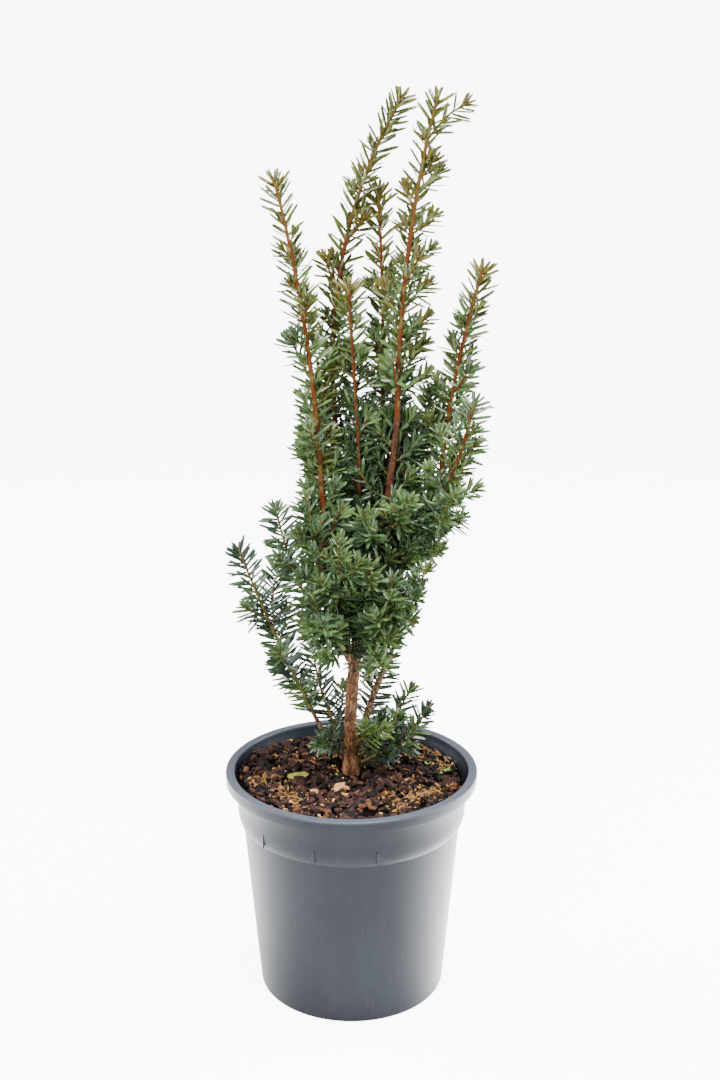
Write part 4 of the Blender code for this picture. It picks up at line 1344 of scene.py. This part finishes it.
def grow_needles(density):
    """Every needle and bud of the plant, sorted by colour."""
    plant = Plant.get()
    boxes = {name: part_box(name) for name in [NEEDLED_BOUGH] + [mass.name for mass in MASSES]}
    whole_low, whole_high = SOLIDS_BOX
    kinds = {kind: [] for kind in ("deep", "dark", "blue", "green", "olive", "fresh", "bright", "bud")}
    for number, shoot in enumerate(plant.shoots):
        dice = random.Random(f"{SEED} needles {number}")
        low, high = boxes.get(shoot.mass, (whole_low, whole_low))
        crown = shoot.mass not in LOW_SHOOTS + (NEEDLED_BOUGH,) and not shoot.mass.startswith("tuft")
        room = NEEDLE_ROOM * MM

        def reach(tip):
            if crown and (past_right_edge(tip) or hides_back_bough(tip)):
                return False
            near = all(low[axis] - room * (1 + axis) < tip[axis] < high[axis] + room for axis in range(3))
            kept = near or in_crown(tip, -2.0)
            return kept and all(whole_low[axis] < tip[axis] < whole_high[axis] for axis in range(3))

        kind, spray_end, at_tip = None, math.inf, False
        for needle, left in needles_along(shoot, dice, density, reach):
            if left < spray_end or (left < TIP_SPRAY * MM and not at_tip):
                at_tip = left < TIP_SPRAY * MM
                kind = colour_of_spray(shoot, needle.root, at_tip, dice)
                spray_end = -1.0 if at_tip else left - dice.uniform(12.0, 26.0) * MM
            kinds[kind].append(needle)
        tip = shoot.course.points[-1]
        tangent = tangent_at(shoot.course.points, len(shoot.course.points) - 1)
        budded = shoot.order != BARE_FOOT_ORDER and reach(tip + 0.003 * tangent)
        for step in range(BUDS if budded else 0):
            side = turned(tangent, 2.1 * step)
            heading = (tangent + 0.22 * side).normalized()
            size = BUD_SIZE * MM * (1.0 if shoot.order < 2 else 0.6)
            kinds["bud"].append(Needle(tip - tangent * 0.8 * MM, heading, side, size, 0.8, 0.0 * side))
    return {
        kind: needles if kind == "bud" else keep_clear(plant, kind, needles)
        for kind, needles in kinds.items()
    }


# Small things on the soil

Chip = namedtuple("Chip", "place turns size")


def chip_shapes(name, count, corners, dice):
    """Different flat broken chips about one unit long, each from a cylinder with moved corners."""
    shapes = []
    for number in range(count):
        deselect()
        bpy.ops.mesh.primitive_cylinder_add(vertices=corners, radius=0.5, depth=1.0)
        chip = added(f"{name}_{number}")
        for vert in chip.data.vertices:
            inward = 0.88 if vert.co.z > 0.0 else 1.0
            vert.co.x *= inward * dice.uniform(0.65, 1.2)
            vert.co.y *= inward * dice.uniform(0.6, 1.2)
            vert.co.z *= dice.uniform(0.4, 1.2)
        points = np.array([vert.co for vert in chip.data.vertices])
        shapes.append((points, [tuple(face.vertices) for face in chip.data.polygons]))
        bpy.data.objects.remove(chip)
    return shapes


def scatter(name, shapes, chips, surface):
    """Finish copies of the shapes, laid out as told and joined in one mesh."""
    points, faces = [], []
    for number, chip in enumerate(chips):
        own, own_faces = shapes[number % len(shapes)]
        laid = own * np.array(chip.size) @ np.array(Euler(chip.turns).to_matrix()).T
        first = len(points)
        points.extend((laid + np.array(chip.place)).tolist())
        faces.extend([first + corner for corner in face] for face in own_faces)
    finish_piece(mesh_piece(name, points, faces, [surface]), "bark_soil")


def lay_chips(count, length, width, thickness, tilt, lift, dice, centres=()):
    """Chips all over the soil, or round some centres (x, y, spread). By the wall they lie along it."""
    chips = []
    while len(chips) < count:
        if centres:
            x, y, spread = dice.choice(centres)
            x += dice.gauss(0.0, spread)
            y += dice.gauss(0.0, spread)
        else:
            radius = RIM_INNER_RADIUS * math.sqrt(dice.random())
            angle = dice.uniform(0.0, FULL_TURN)
            x, y = radius * math.cos(angle), radius * math.sin(angle)
        size = dice.uniform(0.5, 1.5)
        wide = width * size * dice.uniform(0.7, 1.3)
        thick = thickness * dice.uniform(0.6, 1.4)
        height = soil_height(x, y) + dice.uniform(*lift)
        room = inner_radius(height - 1.2 * thick) - math.hypot(x, y)
        turns = [dice.gauss(0.0, math.radians(tilt)) for _ in range(2)] + [dice.uniform(0.0, FULL_TURN)]
        if room < 0.65 * length * size + 1.0:
            turns = [0.0, 0.2 * turns[1], math.atan2(y, x) + 0.5 * math.pi]
        if 0.6 * wide + 0.6 < room and from_foot(x, y) > 8.5 + 0.4 * length:
            chips.append(Chip(place((x, y, height)), turns, place((length * size, wide, thick))))
    return chips


# Operators

class YEW_OT_pot(bpy.types.Operator):
    """Turn the nursery pot with its rim, collar, ledge, panel ribs and drain holes"""

    bl_idname = "yew.pot"
    bl_label = "Pot"

    def execute(self, context):
        pot = context.scene.yew_pot
        shell = turn_shell("pot_shell", outer_profile(), pot.sides)

        depth = PANEL_RIB_PROUD + 0.5 * WALL
        out = COLLAR_RADIUS + PANEL_RIB_PROUD - 0.5 * depth
        height = COLLAR_BOTTOM + 2.0 + 0.5 * PANEL_RIB_HEIGHT
        for degrees in PANEL_ANGLES:
            angle = math.radians(degrees)
            deselect()
            bpy.ops.mesh.primitive_cube_add(
                size=1.0, location=round_place(out, angle, height), rotation=(0.0, 0.0, angle),
                scale=place((depth, PANEL_RIB_WIDTH, PANEL_RIB_HEIGHT)),
            )
            rib = added("pot_rib")
            edit(lambda: bpy.ops.mesh.bevel(offset=0.0003, segments=2))
            apply_boolean(shell, rib, "UNION")

        holes = []
        for step in range(DRAIN_HOLES):
            deselect()
            bpy.ops.mesh.primitive_cylinder_add(
                vertices=32, radius=DRAIN_HOLE_RADIUS * MM, depth=4.0 * FLOOR * MM,
                location=round_place(DRAIN_RING_RADIUS, FULL_TURN * (step + 0.5) / DRAIN_HOLES, 0.0),
            )
            holes.append(added("pot_hole"))
        apply_boolean(shell, join(holes, "pot_holes"), "DIFFERENCE")

        only(shell)
        edges = shell.modifiers.new("Bevel", "BEVEL")
        edges.width = pot.edge
        edges.segments = 2
        edges.limit_method = "ANGLE"
        edges.angle_limit = math.radians(40.0)
        bpy.ops.object.modifier_apply(modifier=edges.name)
        bpy.ops.object.shade_smooth_by_angle(angle=math.radians(32.0))
        finish_piece(shell, "pot_plastic", ["pot"], pot_material(pot))
        return {"FINISHED"}


class YEW_OT_soil(bpy.types.Operator):
    """Fill the pot with soil and roughen its top"""

    bl_idname = "yew.soil"
    bl_label = "Soil"

    def execute(self, context):
        profile = inner_profile(CLEARANCE)
        edge = profile[-1][0]
        profile.append((edge, RIM_FLARE[0]))
        profile += [(edge * (1.0 - step / SOIL_RINGS), SOIL_LEVEL) for step in range(SOIL_RINGS)]
        ground = turn_shell("soil_ground", profile, SOIL_SIDES)
        for vert in ground.data.vertices:
            x, y, z = vert.co / MM
            if z > SOIL_LEVEL - 1.0:
                rough = 0.9 * noise.noise(vert.co * 160.0) + 0.6 * noise.noise(vert.co * 480.0)
                top = soil_height(x, y) + rough - 0.6
                outward = max(0.0, math.hypot(x, y) / edge - 0.7) / 0.3
                stretch = 1.0 + outward * ((inner_radius(top) - CLEARANCE) / edge - 1.0)
                vert.co = place((x * stretch, y * stretch, top))
            elif z > RIM_FLARE[0] - 1.0:
                vert.co.z = min(RIM_FLARE[0], soil_height(x, y) - 0.6 - 2.0 * SOIL_LIP) * MM
        only(ground)
        bpy.ops.object.shade_smooth_by_angle(angle=math.radians(50.0))
        black = context.scene.yew_soil.black
        crumbs = spotted_material("soil_crumbs", black, 2.6, 520.0, 0.95, 0.0012, 0.05)
        finish_piece(ground, "bark_soil", ["soil"], crumbs)
        return {"FINISHED"}


class YEW_OT_chips(bpy.types.Operator):
    """Scatter bark chips of several browns over the soil"""

    bl_idname = "yew.chips"
    bl_label = "Bark chips"

    def execute(self, context):
        soil = context.scene.yew_soil
        dice = random.Random(SEED + 1)
        shapes = chip_shapes("chip", 9, 5, dice)
        for kind, share, size in CHIP_KINDS:
            long = size * soil.chip_length / MM
            chips = lay_chips(round(soil.chips * share), long, 0.5 * long, 2.0, 22.0, (-0.6, 2.4), dice)
            name = "chips_" + kind
            surface = spotted_material(name + "_bark", getattr(soil, kind), 2.4, 420.0, 0.7, 0.0004, 0.2)
            scatter(name, shapes, chips, surface)
        chips = lay_chips(12, 4.6, 3.2, 1.3, 22.0, (1.6, 2.6), dice, CREAM_CHIPS)
        x, y = CREAM_FLAKE
        flake = place((x, y, soil_height(x, y) + 4.8))
        chips.append(Chip(flake, (0.6, -0.5, 0.15), place((12.0, 7.5, 1.2))))
        chips += lay_chips(60, 2.4, 1.7, 1.0, 25.0, (1.0, 2.4), dice)
        surface = spotted_material("chips_cream_wood", soil.cream, 0.7, 500.0, 0.7, 0.0003)
        scatter("chips_cream", shapes, chips, surface)
        return {"FINISHED"}


class YEW_OT_fibres(bpy.types.Operator):
    """Lay shredded orange-tan fibres where they gather on the soil"""

    bl_idname = "yew.fibres"
    bl_label = "Fibres"

    def execute(self, context):
        soil = context.scene.yew_soil
        dice = random.Random(SEED + 2)
        shapes = chip_shapes("fibre", 5, 4, dice)
        count = soil.fibres
        chips = lay_chips(round(0.5 * count), 5.5, 1.3, 0.7, 24.0, (0.8, 3.4), dice, FRONT_FIBRES)
        surface = spotted_material("fibre_tan", soil.tan, 0.45, 260.0, 0.85, shine=0.12)
        scatter("fibres_tan", shapes, chips, surface)
        chips = lay_chips(round(0.32 * count), 7.0, 1.2, 0.7, 20.0, (1.0, 3.2), dice, BACK_FIBRES)
        chips += lay_chips(round(0.18 * count), 6.0, 1.1, 0.7, 24.0, (0.8, 3.2), dice, FRONT_FIBRES)
        red = tuple(0.5 * a + 0.5 * b for a, b in zip(soil.tan, soil.brown))
        scatter("fibres_red", shapes, chips, spotted_material("fibre_red", red, 1.6, 420.0, 0.75))
        return {"FINISHED"}


class YEW_OT_litter(bpy.types.Operator):
    """Lay the fallen yellow-green leaf and grow a few tiny weeds"""

    bl_idname = "yew.litter"
    bl_label = "Leaf and weeds"

    def execute(self, context):
        dice = random.Random(SEED + 3)
        x, y = FALLEN_LEAF
        base = place((x - 7.0, y - 1.5, soil_height(x, y) + 2.6))
        heading = Vector((0.98, 0.18, 0.06)).normalized()
        top = Vector((0.05, -0.3, 0.95)).normalized()
        leaf = Needle(base, heading, top, 0.017, 2.9, Vector((0.02, -0.12, 0.05)))
        surfaces = [
            spotted_material("litter_leaf", (0.36, 0.33, 0.06), 0.5, 160.0, 0.5),
            spotted_material("litter_leaf_under", (0.3, 0.24, 0.08), 0.6, 160.0, 0.6),
        ]
        finish_piece(blades("fallen_leaf", [leaf], 0.0024, 0.0006, surfaces), "bark_soil")
        sprouts = []
        for x, y, count, size in WEEDS:
            foot = place((x, y, soil_height(x, y) + 0.8))
            for number in range(count):
                turn = GOLDEN_ANGLE * number + dice.uniform(-0.3, 0.3)
                heading = Vector((math.cos(turn), math.sin(turn), dice.uniform(0.5, 1.1))).normalized()
                top = (Vector((0.0, 0.0, 1.0)) - heading * heading.z).normalized()
                length = size * dice.uniform(0.7, 1.1) * MM
                sprouts.append(Needle(foot, heading, top, length, 0.85, -0.15 * top))
        green = needle_materials("weed", (0.13, 0.24, 0.05))
        finish_piece(blades("weeds", sprouts, 0.0024, 0.0003, green), "foliage_fresh")
        return {"FINISHED"}


class YEW_OT_trunk(bpy.types.Operator):
    """Roll the trunk with its root flare and flaky bark"""

    bl_idname = "yew.trunk"
    bl_label = "Trunk"

    def execute(self, context):
        bark = context.scene.yew_bark
        course = smoothed(Plant.get().limbs["trunk"], 0.75)
        foot = course.points[0]
        down = (foot - course.points[1]).normalized()
        sunk = [foot + down * depth * MM for depth in (3, 1.5)]
        radii = [course.radii[0] * 1.03, course.radii[0] * 1.02] + course.radii

        def swell(point, angle):
            flare = min(1.0, max(0.0, 1.0 - (point.z - foot.z) / (FLARE_HEIGHT * MM)))
            lobes = 1.0 - FLARE_HOLLOW * flare * (1.0 - math.cos(FLARE_LOBES * angle))
            uneven = noise.noise(Vector((math.cos(angle) * 1.3, math.sin(angle) * 1.3, point.z * 38.0)))
            return lobes * (1.0 + 0.045 * uneven)

        course = Course(sunk + course.points, radii)
        trunk = rolled_limb("trunk_bark_relief", course, 60, bark.relief, swell)
        finish_piece(trunk, "trunk_bark", ["trunk"], bark_material("bark_old", bark, bark.plate, True))
        return {"FINISHED"}


class YEW_OT_boughs(bpy.types.Operator):
    """Roll every bough out of the trunk's side"""

    bl_idname = "yew.boughs"
    bl_label = "Boughs"

    def execute(self, context):
        bark = context.scene.yew_bark
        plant = Plant.get()
        usual = bark_material("bark_young", bark, bark.plate)
        pale = bark_material("bark_pale", bark, bark.pale)
        for bough in BOUGHS:
            course = smoothed(plant.limbs[bough.name], 0.8)
            root = course.points[0] - plant.facings[bough.name] * 2.2 * MM
            radii = [course.radii[0] * 1.25] + [
                radius * (1.0 + 0.22 * math.exp(-index / 4.0)) for index, radius in enumerate(course.radii)
            ]
            course = Course([root] + course.points, radii)
            limb = rolled_limb(bough.name + "_bark", course, 36, 0.6 * bark.relief)
            surface = pale if bough.name == "bough_back" else usual
            finish_piece(limb, "young_bark", [bough.name], surface)
        return {"FINISHED"}


class YEW_OT_stems(bpy.types.Operator):
    """Grow the stems of the leaders and side shoots, their twigs and the finest sprigs"""

    bl_idname = "yew.stems"
    bl_label = "Stems and twigs"

    def execute(self, context):
        bark = context.scene.yew_bark
        shoots = Plant.get().shoots
        leaders = [shoot for shoot in shoots if shoot.mass.startswith("leader")]
        lower = [shoot for shoot in shoots if not shoot.mass.startswith("leader")]
        red = stem_material("stem_red", bark.young, (0.2, 0.2, 0.05), (0.56, 0.66, 0.55))
        green = stem_material("stem_green", bark.green, (0.25, 0.13, 0.05), (0.2, 0.4, 0.0))
        for name, groups, surface, slot in (
            ("stems_leaders", ((leaders, (0, 1)),), red, "young_bark"),
            ("stems_side_shoots", ((lower, (0,)),), green, "young_bark"),
            ("twigs", ((leaders, (2,)), (lower, (1, 2))), green, "foliage_lower"),
        ):
            courses = [
                smoothed(shoot.course, 3.0) for group, orders in groups for shoot in group
                if shoot.order in orders
            ]
            finish_piece(tubes(name, courses, 8, [surface]), slot)
        return {"FINISHED"}


class YEW_OT_needles(bpy.types.Operator):
    """Grow all needles and buds by the golden angle, joined by colour"""

    bl_idname = "yew.needles"
    bl_label = "Needles and buds"

    def execute(self, context):
        settings = context.scene.yew_needles
        kinds = grow_needles(settings.density)
        for kind, slot, habit in (
            ("deep", "foliage_lower", None), ("dark", "foliage_lower", "shoot"),
            ("blue", "foliage_lower", None), ("green", "foliage_lower", None),
            ("olive", "foliage_upper", "leader"), ("fresh", "foliage_upper", None),
            ("bright", "foliage_fresh", "tuft"),
        ):
            nodes = [mass.name for mass in MASSES if habit and mass.name.startswith(habit)]
            surfaces = needle_materials("needle_" + kind, tuple(getattr(settings, kind)))
            for first in range(0, len(kinds[kind]), NEEDLES_A_PIECE):
                needles = kinds[kind][first:first + NEEDLES_A_PIECE]
                name = f"needles_{kind}_{1 + first // NEEDLES_A_PIECE}"
                piece = blades(name, needles, settings.width, settings.thickness, surfaces)
                finish_piece(piece, slot, () if first else nodes)
        surfaces = [
            spotted_material("bud_scales", settings.bud, 0.6, 500.0, 0.5),
            spotted_material("bud_scales_under", settings.olive, 1.6, 500.0, 0.5),
        ]
        finish_piece(blades("buds", kinds["bud"], 0.0024, 0.0009, surfaces), "foliage_upper")
        return {"FINISHED"}


def by_light_path(tree, node, socket, usual, seen, mirrored):
    """Give a socket its usual value, and others for what is seen directly and what is mirrored."""
    path = add_node(tree, "LightPath").outputs
    value = ranged(tree, path["Is Camera Ray"], 0.0, 1.0, usual, seen)
    more = reckoned(tree, "MULTIPLY", path["Is Glossy Ray"], reckoned(tree, "SUBTRACT", mirrored, usual))
    feed(node, {socket: reckoned(tree, "ADD", value, more)})


def floor_shine(tree, full):
    """Mirrored light of the floor: none before the pot, full behind it, more right, less close left."""
    level = vector_math(tree, "MULTIPLY", object_place(tree), (1.0, 1.0, 0.0))["Vector"]
    heading = parts_of(tree, vector_math(tree, "NORMALIZE", level)["Vector"])
    behind = ranged(tree, heading["Y"], -0.85, 0.1, 0.05 * full, full)
    right = ranged(tree, heading["X"], 0.3, 0.9, 1.0, 1.9)
    distance = vector_math(tree, "LENGTH", level)["Value"]
    close = ranged(tree, distance, 0.1, 0.26, 0.5, 1.0)
    close = reckoned(tree, "MAXIMUM", close, ranged(tree, heading["X"], 0.0, 0.4))
    return reckoned(tree, "MULTIPLY", reckoned(tree, "MULTIPLY", behind, right), close)


class YEW_OT_stage(bpy.types.Operator):
    """Set the floor, the lamps and the camera"""

    bl_idname = "yew.stage"
    bl_label = "Stage"

    def execute(self, context):
        stage = context.scene.yew_stage
        deselect()
        bpy.ops.mesh.primitive_plane_add(size=stage.floor_size, location=(0.0, 0.0, -FLOOR_DROP))
        floor = added("floor")
        paper = spotted_material("floor_white", stage.floor_colour, 1.02, 2.0, 0.6)
        tree = paper.node_tree
        shader = tree.nodes["Principled BSDF"]
        feed(shader, {"Emission Color": stage.backdrop_colour})
        shine = floor_shine(tree, stage.floor_shine)
        by_light_path(tree, shader, "Emission Strength", 0.0, stage.backdrop - stage.sky, shine)
        floor.data.materials.append(paper)
        world = bpy.data.worlds.new("Studio")
        world.use_nodes = True
        tree = world.node_tree
        feed(tree.nodes["Background"], {"Color": stage.backdrop_colour})
        by_light_path(tree, tree.nodes["Background"], "Strength", stage.sky, stage.backdrop, stage.shine)
        context.scene.world = world
        for name, spot, size, power in LAMPS:
            deselect()
            bpy.ops.object.light_add(type="AREA", location=spot)
            lamp = bpy.context.active_object
            lamp.name = name
            lamp.data.shape = "SQUARE"
            lamp.data.size = size
            lamp.data.energy = stage.key * power
            lamp.rotation_euler = (Vector(LAMP_AIM) - Vector(spot)).to_track_quat("-Z", "Y").to_euler()
        deselect()
        tilt = math.radians(90.0 - CAMERA_TILT)
        bpy.ops.object.camera_add(location=CAMERA_PLACE, rotation=(tilt, 0.0, 0.0))
        camera = bpy.context.active_object
        camera.name = "camera"
        camera.data.lens = CAMERA_LENS
        camera.data.sensor_width = CAMERA_SENSOR
        context.scene.camera = camera
        return {"FINISHED"}


class YEW_PT_sidebar(bpy.types.Panel):
    """Sizes, colours and making of the yew"""

    bl_idname = "YEW_PT_sidebar"
    bl_label = "Potted Yew"
    bl_space_type = "VIEW_3D"
    bl_region_type = "UI"
    bl_category = "Yew"

    def draw(self, context):
        for operator in OPERATORS:
            self.layout.operator(operator.bl_idname)
        for name, settings in SETTINGS:
            box = self.layout.box()
            box.label(text=name.replace("yew_", "").capitalize())
            for prop in settings.__annotations__:
                box.prop(getattr(context.scene, name), prop)


SETTINGS = (
    ("yew_pot", YewPot), ("yew_soil", YewSoil), ("yew_bark", YewBark), ("yew_needles", YewNeedles),
    ("yew_stage", YewStage),
)
OPERATORS = (
    YEW_OT_pot, YEW_OT_soil, YEW_OT_chips, YEW_OT_fibres, YEW_OT_litter, YEW_OT_trunk, YEW_OT_boughs,
    YEW_OT_stems, YEW_OT_needles, YEW_OT_stage,
)


def register():
    for name, settings in SETTINGS:
        bpy.utils.register_class(settings)
        setattr(bpy.types.Scene, name, PointerProperty(type=settings))
    for kind in OPERATORS + (YEW_PT_sidebar,):
        bpy.utils.register_class(kind)


def unregister():
    for kind in (YEW_PT_sidebar,) + OPERATORS[::-1]:
        bpy.utils.unregister_class(kind)
    for name, settings in reversed(SETTINGS):
        delattr(bpy.types.Scene, name)
        bpy.utils.unregister_class(settings)


def main():
    register()
    for operator in OPERATORS:
        group, name = operator.bl_idname.split(".")
        getattr(getattr(bpy.ops, group), name)()
    bpy.context.view_layer.update()


if __name__ == "__main__":
    main()
